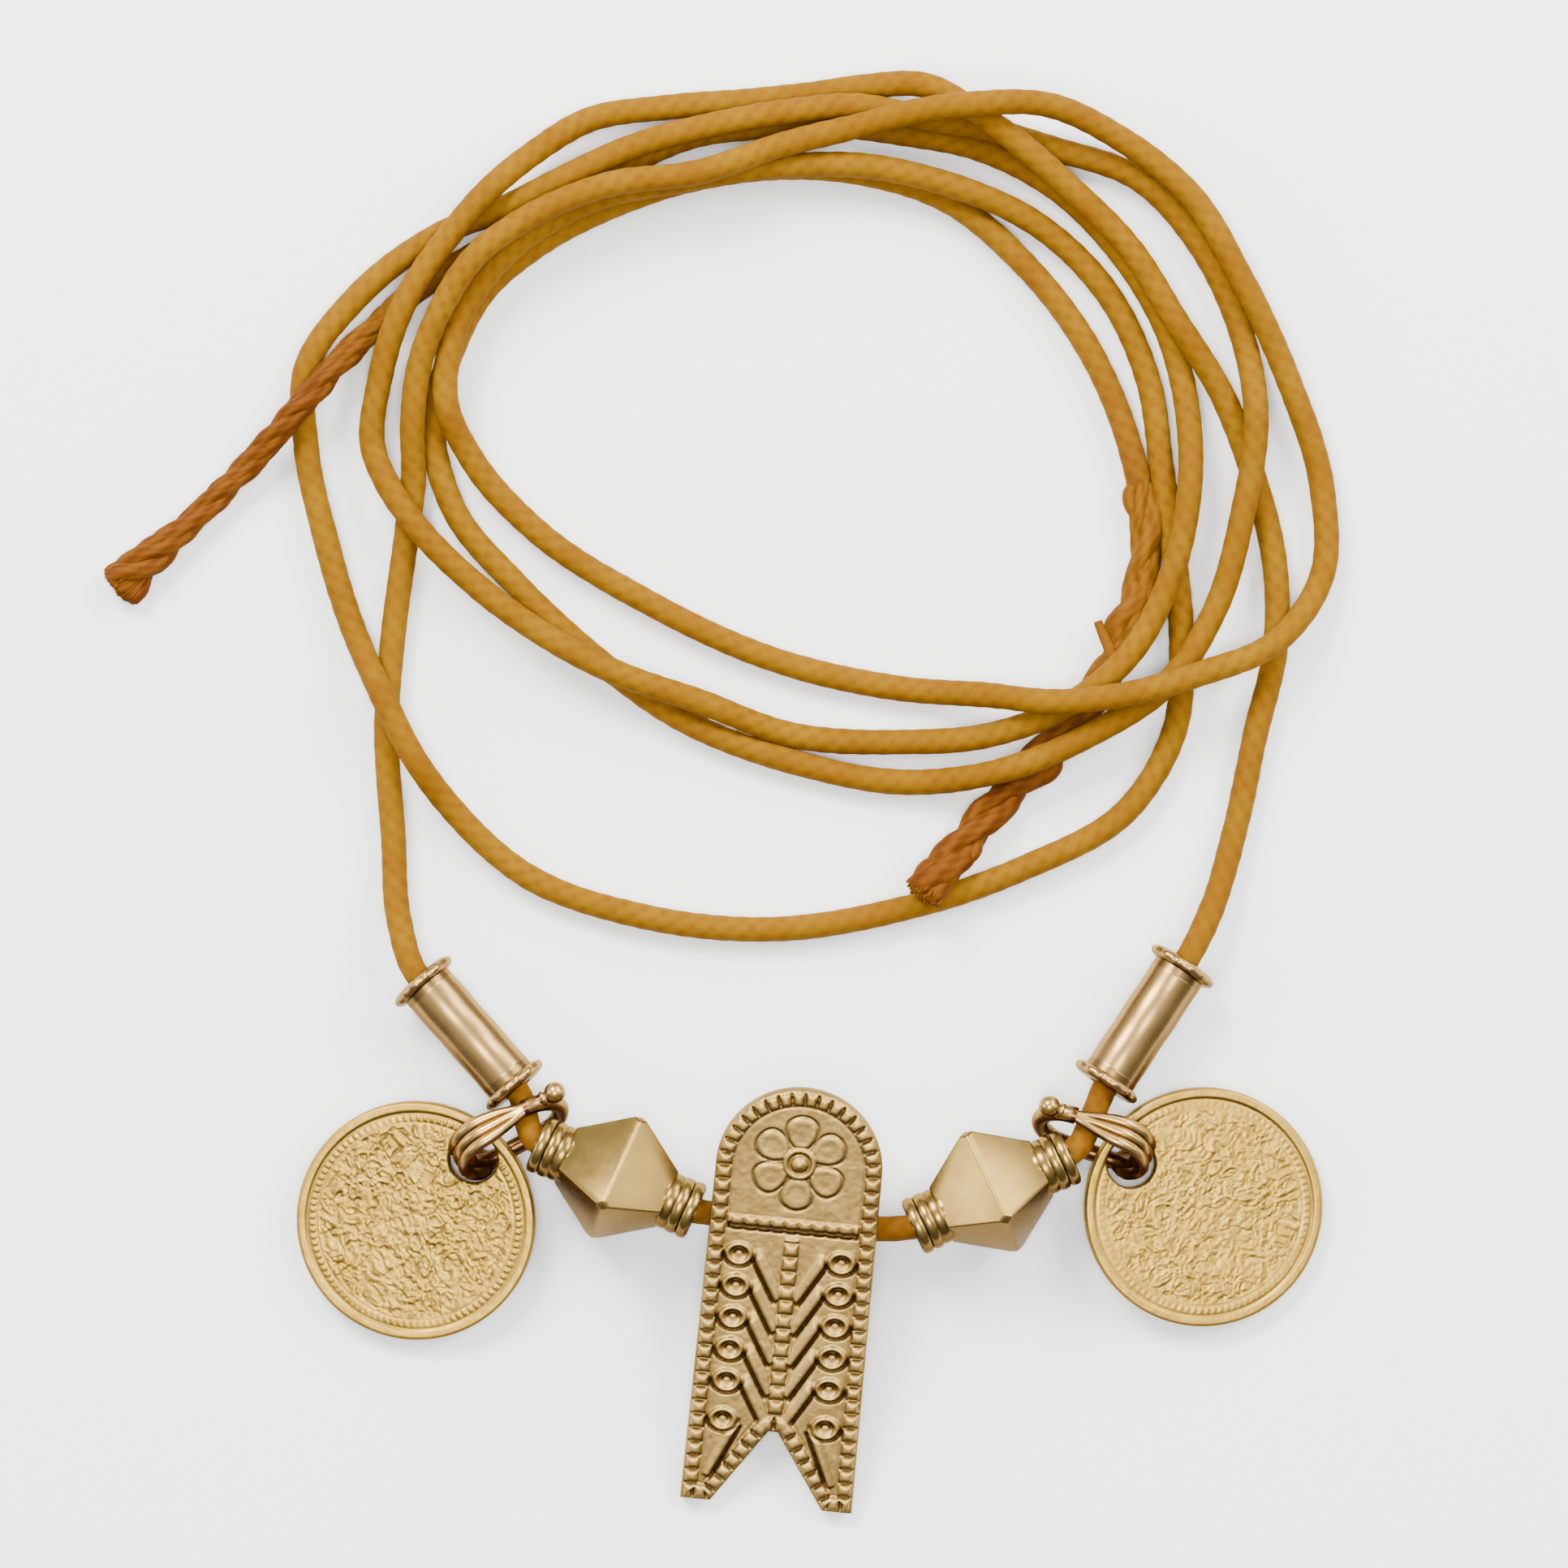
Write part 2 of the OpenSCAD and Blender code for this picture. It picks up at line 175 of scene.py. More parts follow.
def sweep(path, outline, ref):
    """An outline, or one a ring, of (u outwards, v along ref) swept along a path and closed at both ends."""
    path = np.asarray(path, float)
    o = np.asarray(outline, float)
    n, c = len(path), o.shape[-2]
    o = np.broadcast_to(o, (n, c, 2))
    t = unit(np.gradient(path, axis=0))
    ref = np.asarray(ref, float)
    out = unit(np.cross(ref, t))
    v = path[:, None, :] + o[..., :1] * out[:, None, :] + o[..., 1:] * ref
    return v.reshape(-1, 3), ring_quads(n, c) + end_caps(n, c)


def lathe(profile, seg=72):
    """A closed profile of (x, r) turned about x."""
    pr = np.asarray(profile, float)
    n = len(pr)
    a = 2 * np.pi * np.arange(seg) / seg
    v = np.stack([np.broadcast_to(pr[:, :1], (n, seg)), pr[:, 1:] * np.cos(a), pr[:, 1:] * np.sin(a)], -1)
    i, k = np.meshgrid(np.arange(n), np.arange(seg), indexing="ij")
    i2, k2 = (i + 1) % n, (k + 1) % seg
    f = np.stack([i * seg + k, i2 * seg + k, i2 * seg + k2, i * seg + k2], -1).reshape(-1, 4).tolist()
    return v.reshape(-1, 3), f


def join(parts):
    """Several (vertices, faces) as one."""
    vs, fs, n = [], [], 0
    for v, f in parts:
        vs.append(v)
        fs += [[q + n for q in face] for face in f]
        n += len(v)
    return np.vstack(vs), fs


def piece(name, v, f, material, nodes=(), attrs=(), sharp=40, fix=True, paint_shade=True):
    """One object of the necklace; its last argument paints shade into the colour of brass faces that look
    down or towards the tails.
    """
    me = bpy.data.meshes.new(name)
    me.from_pydata((np.asarray(v) * MM).tolist(), [], f)
    for key, val in attrs:
        me.attributes.new(key, "FLOAT", "POINT").data.foreach_set("value", np.asarray(val, np.float32))
    me.polygons.foreach_set("use_smooth", np.ones(len(me.polygons), bool))
    me.update()
    obj = bpy.data.objects.new(name, me)
    bpy.context.scene.collection.objects.link(obj)
    if fix:
        b = bmesh.new()
        b.from_mesh(me)
        bmesh.ops.recalc_face_normals(b, faces=b.faces)
        b.to_mesh(me)
        b.free()
    if paint_shade:
        nv = np.empty(len(me.vertices) * 3, np.float32)
        me.vertex_normals.foreach_get("vector", nv)
        nv = nv.reshape(-1, 3)
        # painted shade: faces that look down, stand upright or lean towards the tails darken the brass's
        # colour, and on relief plates so does every slope that faces the tails
        leaning = smoothstep((0.62 - 0.9 * nv[:, 2] - 0.6 * nv[:, 1]) / 0.7)
        upright = 0.8 * smoothstep((0.42 - nv[:, 2]) / 0.42)
        shade = np.maximum(leaning, upright)
        if paint_shade == "relief":
            shade = np.maximum(shade, smoothstep((-0.37 - nv[:, 1]) / 0.28))
        me.attributes.new("shade", "FLOAT", "POINT").data.foreach_set("value", shade.astype(np.float32))
    if sharp:
        me.set_sharp_from_angle(angle=math.radians(sharp))
    me.materials.append(material)
    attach(obj, "root")
    if nodes:
        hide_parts(*nodes)
    return obj


# Materials


class Nodes:
    """A material's node tree, with short calls for the nodes that are used here."""

    def __init__(self, name):
        self.m = bpy.data.materials.new(name)
        self.m.use_nodes = True
        self.t = self.m.node_tree
        self.b = self.t.nodes["Principled BSDF"]
        self.coord = self.t.nodes.new("ShaderNodeTexCoord").outputs["Object"]

    def new(self, kind, **inputs):
        n = self.t.nodes.new(kind)
        for k, v in inputs.items():
            self.set(n.inputs[k.replace("_", " ")], v)
        return n

    def set(self, socket, v):
        if hasattr(v, "is_linked") or hasattr(v, "links"):
            self.t.links.new(v, socket)
        else:
            socket.default_value = v

    def noise(self, scale, detail=3.0, rough=0.55):
        tex = self.new("ShaderNodeTexNoise", Vector=self.coord, Scale=scale, Detail=detail, Roughness=rough)
        return tex.outputs["Fac"]

    def attr(self, name):
        n = self.t.nodes.new("ShaderNodeAttribute")
        n.attribute_name = name
        return n.outputs["Fac"]

    def span(self, v, a, b, c=0.0, d=1.0):
        return self.new("ShaderNodeMapRange", Value=v, From_Min=a, From_Max=b, To_Min=c, To_Max=d).outputs[0]

    def mix(self, f, a, b):
        n = self.t.nodes.new("ShaderNodeMix")
        n.data_type = "RGBA"
        for i, v in ((0, f), (6, a), (7, b)):
            self.set(n.inputs[i], v)
        return n.outputs[2]

    def math(self, op, a, b=0.0):
        n = self.t.nodes.new("ShaderNodeMath")
        n.operation = op
        self.set(n.inputs[0], a)
        self.set(n.inputs[1], b)
        return n.outputs[0]

    def bump(self, v, strength, distance):
        n = self.new("ShaderNodeBump", Height=v, Strength=strength, Distance=distance)
        self.t.links.new(n.outputs[0], self.b.inputs["Normal"])


def brass(name, base, bright, dark, recess, rough, mottle, groove_shade_and_wear_range=(-0.07, 0.05), tone=1.0, shaded=0.9,
          uneven=1.0):
    """Brass with painted shade in its grooves and where it faces down, and rubbed bright on its high places,
    partly a painted highlight.

    `recess` and `shaded` are the strength of the two kinds of painted shade, `mottle` is the scale of the
    cloudy changes of colour, `tone` their strength, and `uneven` is how much the gloss changes.
    """
    n = Nodes(name)
    blotch = n.span(n.noise(mottle, 4, 0.6), 0.35, 0.7, 0.5 - 0.5 * tone, 0.5 + 0.5 * tone)
    col = n.mix(blotch, base, bright)
    # the attribute read here paints shade into the grooves below zero and rubs the high places bright above
    # zero, partly a painted highlight
    groove_shade_and_wear = n.attr("groove_shade_and_wear")
    lo = n.span(groove_shade_and_wear, groove_shade_and_wear_range[0], -0.004, 1.0, 0.0)
    fine = n.span(n.noise(mottle * 3.3, 3, 0.6), 0.3, 0.75, 0.88, 1.0)
    col = n.mix(n.math("MULTIPLY", n.math("MULTIPLY", lo, fine), recess), col, dark)
    hi = n.span(groove_shade_and_wear, 0.01, groove_shade_and_wear_range[1], 0.0, 0.5)
    col = n.mix(hi, col, bright)
    # painted shade where the brass faces down, stands upright or faces the tails
    col = n.mix(n.math("MULTIPLY", n.attr("shade"), shaded), col, dark)
    n.set(n.b.inputs["Base Color"], col)
    n.b.inputs["Metallic"].default_value = 0.95
    n.b.inputs["Specular Tint"].default_value = (0.9, 0.74, 0.52, 1)
    gloss = n.span(n.noise(mottle * 2.1, 4, 0.6), 0.3, 0.7, rough - 0.05 * uneven, rough + 0.07 * uneven)
    n.set(n.b.inputs["Roughness"], gloss)
    n.bump(n.noise(mottle * 2.6, 4, 0.6), 0.2 * tone, 0.00005)
    return n.m


def cotton(name, fresh, aged_and_shaded):
    """Dyed cotton; an attribute of age and shade turns it from yellow to the red brown of the rubbed ends,
    and of the painted shade where the middle cord leaves the left tube.
    """
    n = Nodes(name)
    base, pale, deep = [n.mix(n.attr("age_and_shade"), a, b) for a, b in zip(fresh, aged_and_shaded)]
    blotch = n.span(n.noise(260, 3, 0.5), 0.35, 0.68)
    col = n.mix(blotch, base, pale)
    spots = n.span(n.noise(2600, 3, 0.55), 0.5, 0.78, 0.0, 0.35)
    col = n.mix(spots, col, deep)
    # painted shade in the low places of the weave
    gap = n.span(n.attr("weave"), -1.0, 0.2, 0.6, 0.0)
    col = n.mix(gap, col, deep)
    n.set(n.b.inputs["Base Color"], col)
    n.b.inputs["Roughness"].default_value = 0.75
    n.b.inputs["Sheen Weight"].default_value = 0.02
    n.b.inputs["Sheen Roughness"].default_value = 0.5
    n.b.inputs["Sheen Tint"].default_value = (0.9, 0.65, 0.2, 1)
    n.b.inputs["Specular IOR Level"].default_value = 0.05
    n.bump(n.noise(9000, 3, 0.6), 0.35, 0.00005)
    return n.m


# The third colour of each brass is its painted shade, used in grooves and on faces that look down.
GOLD = brass("brass_pendant", (0.268, 0.166, 0.043, 1), (0.43, 0.278, 0.085, 1), (0.036, 0.018, 0.005, 1),
             recess=1.0, rough=0.42, mottle=900, groove_shade_and_wear_range=(-0.1, 0.08), tone=0.6, shaded=0.86)
COIN = brass("brass_coin", (0.33, 0.195, 0.028, 1), (0.41, 0.255, 0.045, 1), (0.11, 0.055, 0.012, 1),
             recess=0.9, rough=0.4, mottle=500, groove_shade_and_wear_range=(-0.05, 0.05), shaded=0.8)
BAIL = brass("brass_bail", (0.31, 0.185, 0.05, 1), (0.42, 0.265, 0.09, 1), (0.07, 0.02, 0.009, 1),
             recess=0.95, rough=0.27, mottle=700, tone=0.6)
BEAD = brass("brass_bead", (0.225, 0.142, 0.036, 1), (0.25, 0.16, 0.043, 1), (0.04, 0.015, 0.006, 1),
             recess=0.95, rough=0.25, mottle=420, groove_shade_and_wear_range=(-0.06, 0.05), tone=0.15, shaded=0.88,
             uneven=0.6)
TUBE = brass("brass_tube", (0.3, 0.178, 0.058, 1), (0.34, 0.21, 0.073, 1), (0.06, 0.029, 0.011, 1),
             recess=0.92, rough=0.27, mottle=300, tone=0.12, shaded=0.92, uneven=0.4)
COTTON = cotton("cotton",
                ((0.155, 0.063, 0.0008, 1), (0.19, 0.088, 0.0012, 1), (0.105, 0.034, 0.001, 1)),
                ((0.105, 0.031, 0.003, 1), (0.14, 0.046, 0.0035, 1), (0.045, 0.009, 0.001, 1)))

# Cord
CORD_D = 1.9
BRAID_PITCH = 1.5
INNER_INSIDE, OUTER_INSIDE = 37.5, 29.0

# The routes are those of the CAD: from the left tube to the end inside the coil, from the right tube to the
# cut end at the left, and through the row of pieces.
LEFT_ROUTE = [
    (-27.94, 17.75, 2.77), (-29.26, 19.25, 2.63), (-30.5, 23, 1.9), (-31, 29.5, 1),
    (-31.5, 37.5, 1), (-31, 44.5, 1), (-30, 52, 1), (-29.5, 56, 1.2), (-29.5, 60.5, 2.6),
    (-29, 64.5, 3.3), (-27.5, 68.5, 4.2), (-24.5, 73, 4.8), (-21, 75.5, 4.9), (-15, 78, 4.9),
    (-8, 79, 4.9), (-2, 81, 4.2), (4, 82.5, 4.1), (8, 83.5, 4.9), (12.5, 84, 6.1), (18, 84, 4.2),
    (23.5, 81.5, 2.6), (28.5, 77.5, 2.5), (32.5, 71, 2.4), (36, 63.5, 1.5), (38.5, 55.5, 1),
    (38.5, 49, 1.3), (35, 44, 3.2), (29, 41.5, 4.7), (23.5, 40, 5), (18.5, 39.5, 4.8),
    (13.5, 40, 2.8), (7, 40.5, 1), (-2, 42.5, 1), (-12, 47, 1), (-20.5, 52.5, 1), (-25, 57.5, 1.6),
    (-27, 62, 2.9), (-26, 68, 2.9), (-22.5, 73, 2.9), (-16, 77, 2.9), (-9, 78.5, 2.9),
    (-2, 79.5, 2.9), (4.5, 79.5, 2.9), (11, 78, 2.9), (17.5, 75, 1.3), (22.5, 70, 1),
    (25.5, 63.5, 1), (26.5, 57, 1), (27.5, 50, 1), (28, 43.5, 1), (27.5, 37.5, 1), (24, 31.5, 1),
    (16, 27, 1), (7, 24, 1), (-2.5, 22.5, 1), (-12.5, 23.5, 1), (-21, 26.5, 1), (-27, 32, 1.6),
    (-29.5, 35.5, 2.9), (-32, 40.5, 2.9), (-34, 45, 1.2), (-36, 51.5, 1), (-37.5, 58.5, 1),
    (-37.5, 64.5, 1), (-34, 69.5, 1), (-27.5, 74.5, 1), (-22.5, 76.5, 2), (-18.5, 78.5, 2.9),
    (-13, 81, 2.9), (-7.5, 82.5, 2.9), (-2, 83.5, 3), (4, 84, 2.6), (9, 83, 2.5), (12.5, 82.5, 2.4),
    (18, 81, 1), (25, 78.5, 1), (29.5, 73.5, 1), (32.5, 67, 1.1), (33.5, 60.5, 3),
    (32.5, 53.5, 2.9), (30.5, 46.5, 2.6), (27, 41, 2.9), (21, 37, 2.9), (15, 34.5, 2.9),
    (7, 33.5, 1), (-1, 35, 1), (-9, 38, 1), (-15.5, 42.5, 1), (-21.5, 48, 1), (-26.5, 54, 1),
    (-28, 60, 1), (-26.5, 66, 1), (-24, 70.5, 1), (-20.5, 73.5, 1), (-16, 76, 1), (-9, 78.5, 1),
    (-2, 79.5, 1), (4.5, 79, 1), (10.5, 77, 1), (16, 72.5, 1), (21, 66, 1), (24, 59, 1),
    (25.3, 52, 1), (23.8, 44.7, 1), (19.3, 37, 1), (14.3, 32, 1), (8.5, 25, 3),
]
RIGHT_ROUTE = [
    (27.35, 18.77, 2.77), (28.45, 20.43, 2.63), (30, 23.5, 1.9), (32, 30, 1), (33.5, 37, 1),
    (35, 43.5, 1), (35, 49.5, 1), (33.5, 56, 1), (31, 62.5, 1.5), (27.5, 68, 2.9), (24, 73.5, 2.9),
    (19.5, 78, 3), (16, 81, 3.8), (12.5, 83.5, 4.2), (9, 85.5, 2.8), (4, 85.5, 1), (0.5, 85, 1),
    (-4, 84.5, 1), (-10.5, 84, 1), (-16.5, 83, 1), (-20.5, 80.5, 2.3), (-24, 77.5, 3.6),
    (-27, 74, 3.1), (-30, 69.5, 3.1), (-32, 63.5, 2), (-32.5, 58.5, 1.6), (-31.5, 56, 2.7),
    (-29.5, 53, 3.1), (-24.5, 48, 2.4), (-15, 42, 3), (-8, 39.5, 2.6), (-1, 37, 1), (7, 36.5, 1),
    (13.5, 37, 1.6), (19, 39, 2.9), (24, 43, 2.9), (27, 48.5, 2.9), (28.5, 55, 2.8),
    (28.5, 60.5, 1.6), (27, 67, 1), (23.5, 73, 1), (18.5, 78, 1), (12.5, 81, 1), (7.5, 82, 1),
    (4, 82.5, 1), (0.5, 83, 1), (-4, 82.5, 1), (-8, 82, 1), (-14, 79.5, 1), (-19, 76.5, 1),
    (-24, 73.5, 1), (-29, 70.5, 1), (-33, 67, 1), (-37.5, 62, 3.2), (-42.5, 56.5, 1.3),
    (-50.5, 49, 1),
]
MIDDLE_ROUTE = [
    (-27.94, 17.75, 2.77), (-25.3, 14.75, 3.05), (-22, 11, 3.4), (-21.35, 9.9, 3.6),
    (-21.05, 8.7, 3.95), (-20.8, 7.7, 4.4), (-20.4, 6.95, 4.75), (-19.3, 6.25, 4.9),
    (-14.25, 4.05, 5.05), (-8.7, 1.65, 5.2), (-7, 1.35, 4.65), (-5.4, 1.3, 4.4), (-1, 0.95, 4.4),
    (3.2, 0.5, 4.4), (5.4, 0.2, 4.6), (8.2, 0.45, 5.15), (13.7, 3, 5.05), (19.1, 5.5, 4.9),
    (20.3, 6.5, 4.6), (21, 7.9, 4), (21.7, 9.6, 3.6), (22.5, 11.45, 3.4), (25.15, 15.45, 3.05),
    (27.35, 18.77, 2.77),
]


def braid(path, sides, seed, taper=None):
    """Radius and weave height, one a vertex, of a soft round braid of six strands."""
    s = length_along(path)[:, None]
    a = 2 * np.pi * (np.arange(sides) + 0.5)[None, :] / sides
    k = 2 * np.pi / BRAID_PITCH
    slip = 0.5 * wobble(s[:, 0], 7.0, seed + 1)[:, None]
    u, v = 4 * a + k * s + slip, 4 * a - k * s + slip
    patchy = (0.75 + 0.25 * wobble(s[:, 0], 4.0, seed + 2))[:, None]
    weave = (0.68 * np.cos(u) + 0.32 * np.cos(v)) * patchy
    r = CORD_D / 2 * (1 + 0.02 * wobble(s[:, 0], 2.6, seed)[:, None]) + 0.024 * weave
    if taper is not None:
        r = r * taper[:, None]
    return r, weave


def soft_piece(name, v, f, weave, age_and_shade, nodes=()):
    """A piece of cotton with its weave height and its age and painted shade at each vertex."""
    return piece(name, v, f, COTTON, nodes, [("weave", weave), ("age_and_shade", age_and_shade)],
                 sharp=None, fix=False, paint_shade=False)


def cord_piece(name, route, seed, step=0.3, sides=24, inside=0.0, age_and_shade=0.0):
    """The braided cord of one run; its last `inside` mm thin out under the twisted end."""
    path = smooth_route(route, step)
    path[:, 2] = np.maximum(path[:, 2], CORD_D / 2 + 0.03)
    s = length_along(path)
    taper = 1 - 0.6 * smoothstep((s - s[-1] + inside) / 3.0) if inside else None
    r, weave = braid(path, sides, seed, taper)
    if inside:
        aged_and_shaded = age_and_shade + 0.6 * smoothstep((s - s[-1] + inside + 12) / 14)
    else:
        # painted shade: the first 10 mm of the middle cord, where it leaves the left tube, turn red brown
        aged_and_shaded = age_and_shade + 0.65 * smoothstep((10 - s) / 3)
    v, f = tube(path, r, sides)
    return soft_piece(name + "_braid", v, f, weave.reshape(-1), np.repeat(aged_and_shaded, sides), (name,)), path


cord_l, path_l = cord_piece("cord_left", LEFT_ROUTE, 3, inside=INNER_INSIDE)
cord_r, path_r = cord_piece("cord_right", RIGHT_ROUTE, 4, inside=OUTER_INSIDE)
cord_piece("cord_middle", MIDDLE_ROUTE, 5, step=0.2, age_and_shade=0.35)


def frame_of(path):
    """Directions along a path, to its side and upwards."""
    t = unit(np.gradient(path, axis=0))
    side = unit(np.cross([0, 0, 1.0], t))
    return t, side, np.cross(t, side)


def brush(path, reach, wide, tall, count, thread, seed, ragged=0.07):
    """Many fine threads that fill the cord's blunt cut end."""
    r = np.random.default_rng(seed)
    s = length_along(path)
    t, side, up = frame_of(path)
    parts, weave = [], []
    for _ in range(count):
        q, m = math.sqrt(r.uniform(0, 1)), r.uniform(0, 2 * math.pi)
        a, b = q * math.cos(m), q * math.sin(m)
        start = s[-1] - reach * r.uniform(0.7, 1.0)
        along = np.linspace(start, s[-1] + 0.2 - 0.5 * q**4 + r.normal(0, ragged), 12)
        k = np.minimum(np.searchsorted(s, along), len(s) - 1)
        grow = 0.5 + 0.5 * smoothstep((along - start) / (s[-1] - start))
        p = path[k] + t[k] * (along - s[k])[:, None]
        twist = 0.35 * (along - start) / reach
        c, d = np.cos(twist), np.sin(twist)
        p = p + (grow * (a * c - b * d) * wide)[:, None] * side[k]
        p = p + (grow * (a * d + b * c) * tall)[:, None] * up[k]
        p[:, 2] = np.maximum(p[:, 2], thread + 0.03)
        v, f = tube(p, thread * r.uniform(0.8, 1.25) * np.array([1] * 11 + [0.55]), 6)
        parts.append((v, f))
        weave.append(np.full(len(v), r.uniform(-0.8, 0.7)))
    return parts, weave


def twisted_end(name, path, plies, ply_r, offset, pitch, seed, flare, flare_run, lumps, flat, cut, fresh,
                turns, knobs=(), swell=()):
    """Loose plies wound round the cord's last stretch, open and cut blunt at the end.

    `cut` is the width, height and number of the threads at the end, and `flare` is how far the plies open
    over the last `flare_run` mm. `knobs` lists lumps of yarn as (mm from the end, side, size), and `swell`
    lists thick places as (mm from the end, share). The age goes from `fresh` to 1 over `turns` mm.
    """
    s = length_along(path)
    t, side, up = frame_of(path)
    total = s[-1]
    sides, knob_sides = 20, 16
    parts, weave, age_and_shade = [], [], []
    ease = smoothstep(s / 4.0)
    open_ = np.clip((s - total + flare_run) / flare_run, 0, 1) ** 1.4
    fat = 1 + sum(a * np.exp(-(((total - s) - at) / 2.4) ** 2) for at, a in swell)
    aged_and_shaded = fresh + (1 - fresh) * smoothstep((s - 2) / turns)
    for q in range(plies):
        ph = 2 * np.pi * q / plies + 2 * np.pi * s / pitch + 0.7 * wobble(s, 5.0, seed + q)
        grow = fat * offset * (0.5 + 0.5 * ease) * (1 + lumps * wobble(s, 3.4, seed + 10 + q)) + flare * open_
        high = (flat - 0.25 * open_) * np.sin(ph)
        p = path + grow[:, None] * (np.cos(ph)[:, None] * side + high[:, None] * up)
        r = fat * ply_r * (0.7 + 0.3 * ease) * (1 + lumps * wobble(s, 2.6, seed + 20 + q)) * (1 + 0.2 * open_)
        r = r * np.sqrt(1 - 0.8 * np.clip((s - total + 0.9) / 0.9, 0, 1) ** 2)
        a = 2 * np.pi * (np.arange(sides) + 0.5)[None, :] / sides
        strand = 0.7 * np.cos(4 * a + 2 * np.pi * s[:, None] / 3.1)
        strand = strand + 0.5 * np.cos(7 * a - 2 * np.pi * s[:, None] / 1.7)
        p[:, 2] = np.maximum(p[:, 2], r * 1.05 + 0.03)
        v, f = tube(p, r[:, None] * (1 + 0.07 * strand), sides)
        parts.append((v, f))
        weave.append((strand - 0.3).reshape(-1))
        age_and_shade.append(np.repeat(aged_and_shaded, sides))
    for at, way, size in knobs:
        k = int(np.searchsorted(s, total - at))
        c = path[k] + way * (0.95 * side[k]) + 0.25 * up[k]
        inwards = way * side[k]
        b = smooth_route([c - 1.6 * t[k] - 0.7 * inwards, c - 0.5 * t[k], c + 0.6 * t[k] - 0.1 * inwards,
                          c + 1.6 * t[k] - 0.7 * inwards], 0.15)
        u = np.linspace(-1, 1, len(b))
        v, f = tube(b, size * np.sqrt(np.clip(1 - u**2 * 0.94, 0, 1)), knob_sides)
        parts.append((v, f))
        weave.append(np.tile(np.cos(np.arange(knob_sides) * 1.9), len(b)) * 0.8)
        age_and_shade.append(np.full(len(v), aged_and_shaded[k]))
    wide, tall, count = cut
    threads, thread_weave = brush(path, 3.2, wide, tall, count, 0.13, seed)
    v, f = join(parts + threads)
    age_and_shade.append(np.full(len(v) - sum(map(len, age_and_shade)), 0.9))
    return soft_piece(name, v, f, np.concatenate(weave + thread_weave), np.concatenate(age_and_shade))


s_l = length_along(path_l)
s_r = length_along(path_r)
end_l = path_l[s_l > s_l[-1] - INNER_INSIDE - 1.0]
end_r = path_r[s_r > s_r[-1] - OUTER_INSIDE - 1.5]
past_cut = np.arange(1, 6) * 0.3
end_r = np.vstack([end_r, end_r[-1] + np.outer(past_cut, unit(end_r[-1] - end_r[-4]))])
inner_knobs = [(35.5, -1, 0.55), (13.6, 1, 0.75), (5.0, 1, 0.6), (27, 1, 0.6), (1.8, -1, 0.7)]
inner_swell = [(35.5, 0.12), (27, 0.25), (14, 0.25), (9, 0.2), (1.5, 0.2)]
inner_end = twisted_end("cord_end_inner", end_l, plies=3, ply_r=0.73, offset=0.52, pitch=11.0, seed=40,
                        flare=0.05, flare_run=5.0, lumps=0.22, flat=0.8, cut=(1.6, 1.15, 130),
                        fresh=0.42, turns=26.0, knobs=inner_knobs, swell=inner_swell)
outer_end = twisted_end("cord_end_left", end_r, plies=4, ply_r=0.61, offset=0.41, pitch=9.5, seed=60,
                        flare=0.85, flare_run=7.5, lumps=0.04, flat=0.78, cut=(1.85, 1.05, 230),
                        fresh=0.55, turns=8.0)
spur_path = smooth_route([[23.3, 41.8, 2.2], [22.7, 43.2, 2.1], [22.15, 44.4, 2.0], [21.7, 45.5, 1.8]], 0.12)
spur_v, spur_f = tube(spur_path, np.linspace(0.55, 0.34, len(spur_path)), 14)
spur = soft_piece("cord_end_spur", spur_v, spur_f, np.zeros(len(spur_v)), np.full(len(spur_v), 0.7))

# Relief plates


def plateau(d, half, soft):
    """1 within `half` of zero, falling smoothly over `soft`."""
    return smoothstep((half + soft / 2 - np.abs(d)) / soft)


def to_segment(x, y, a, b):
    """Distance from the segment a to b, the length along it and the distance across it."""
    ax, ay = a
    dx, dy = b[0] - ax, b[1] - ay
    ln = math.hypot(dx, dy)
    along = ((x - ax) * dx + (y - ay) * dy) / ln
    across = ((x - ax) * dy - (y - ay) * dx) / ln
    u = np.clip(along, 0, ln)
    return np.hypot(along - u, across), along, across


def grid_noise(shape, cells, seed):
    """Smooth noise over a grid, about -1 to 1."""
    r = np.random.default_rng(seed)
    k = r.uniform(-1, 1, (cells[0] + 3, cells[1] + 3))
    y = np.linspace(0, cells[0], shape[0])
    x = np.linspace(0, cells[1], shape[1])
    iy, ix = y.astype(int), x.astype(int)
    fy, fx = smoothstep(y - iy)[:, None], smoothstep(x - ix)[None, :]
    a = k[np.ix_(iy, ix)] * (1 - fx) + k[np.ix_(iy, ix + 1)] * fx
    b = k[np.ix_(iy + 1, ix)] * (1 - fx) + k[np.ix_(iy + 1, ix + 1)] * fx
    return a * (1 - fy) + b * fy


def blur(h, n):
    """A height field averaged twice over 2 n + 1 cells each way."""
    window = 2 * n + 1
    for _ in range(2):
        for ax in (0, 1):
            pad = [(n + 1, n) if q == ax else (0, 0) for q in (0, 1)]
            c = np.cumsum(np.pad(h, pad, mode="edge"), axis=ax)
            upper = np.take(c, range(window, c.shape[ax]), ax)
            lower = np.take(c, range(0, c.shape[ax] - window), ax)
            h = (upper - lower) / window
    return h


def noise2(x, y, cell, seed):
    """Smooth noise of any x and y, about -1 to 1, one value per `cell` mm."""
    k = np.random.default_rng(seed).uniform(-1, 1, (97, 97))
    u, v = x / cell + 300.3, y / cell + 300.7
    i, j = np.floor(u).astype(int), np.floor(v).astype(int)
    fu, fv = smoothstep(u - i), smoothstep(v - j)
    a = k[j % 97, i % 97] * (1 - fu) + k[j % 97, (i + 1) % 97] * fu
    b = k[(j + 1) % 97, i % 97] * (1 - fu) + k[(j + 1) % 97, (i + 1) % 97] * fu
    return a * (1 - fv) + b * fv


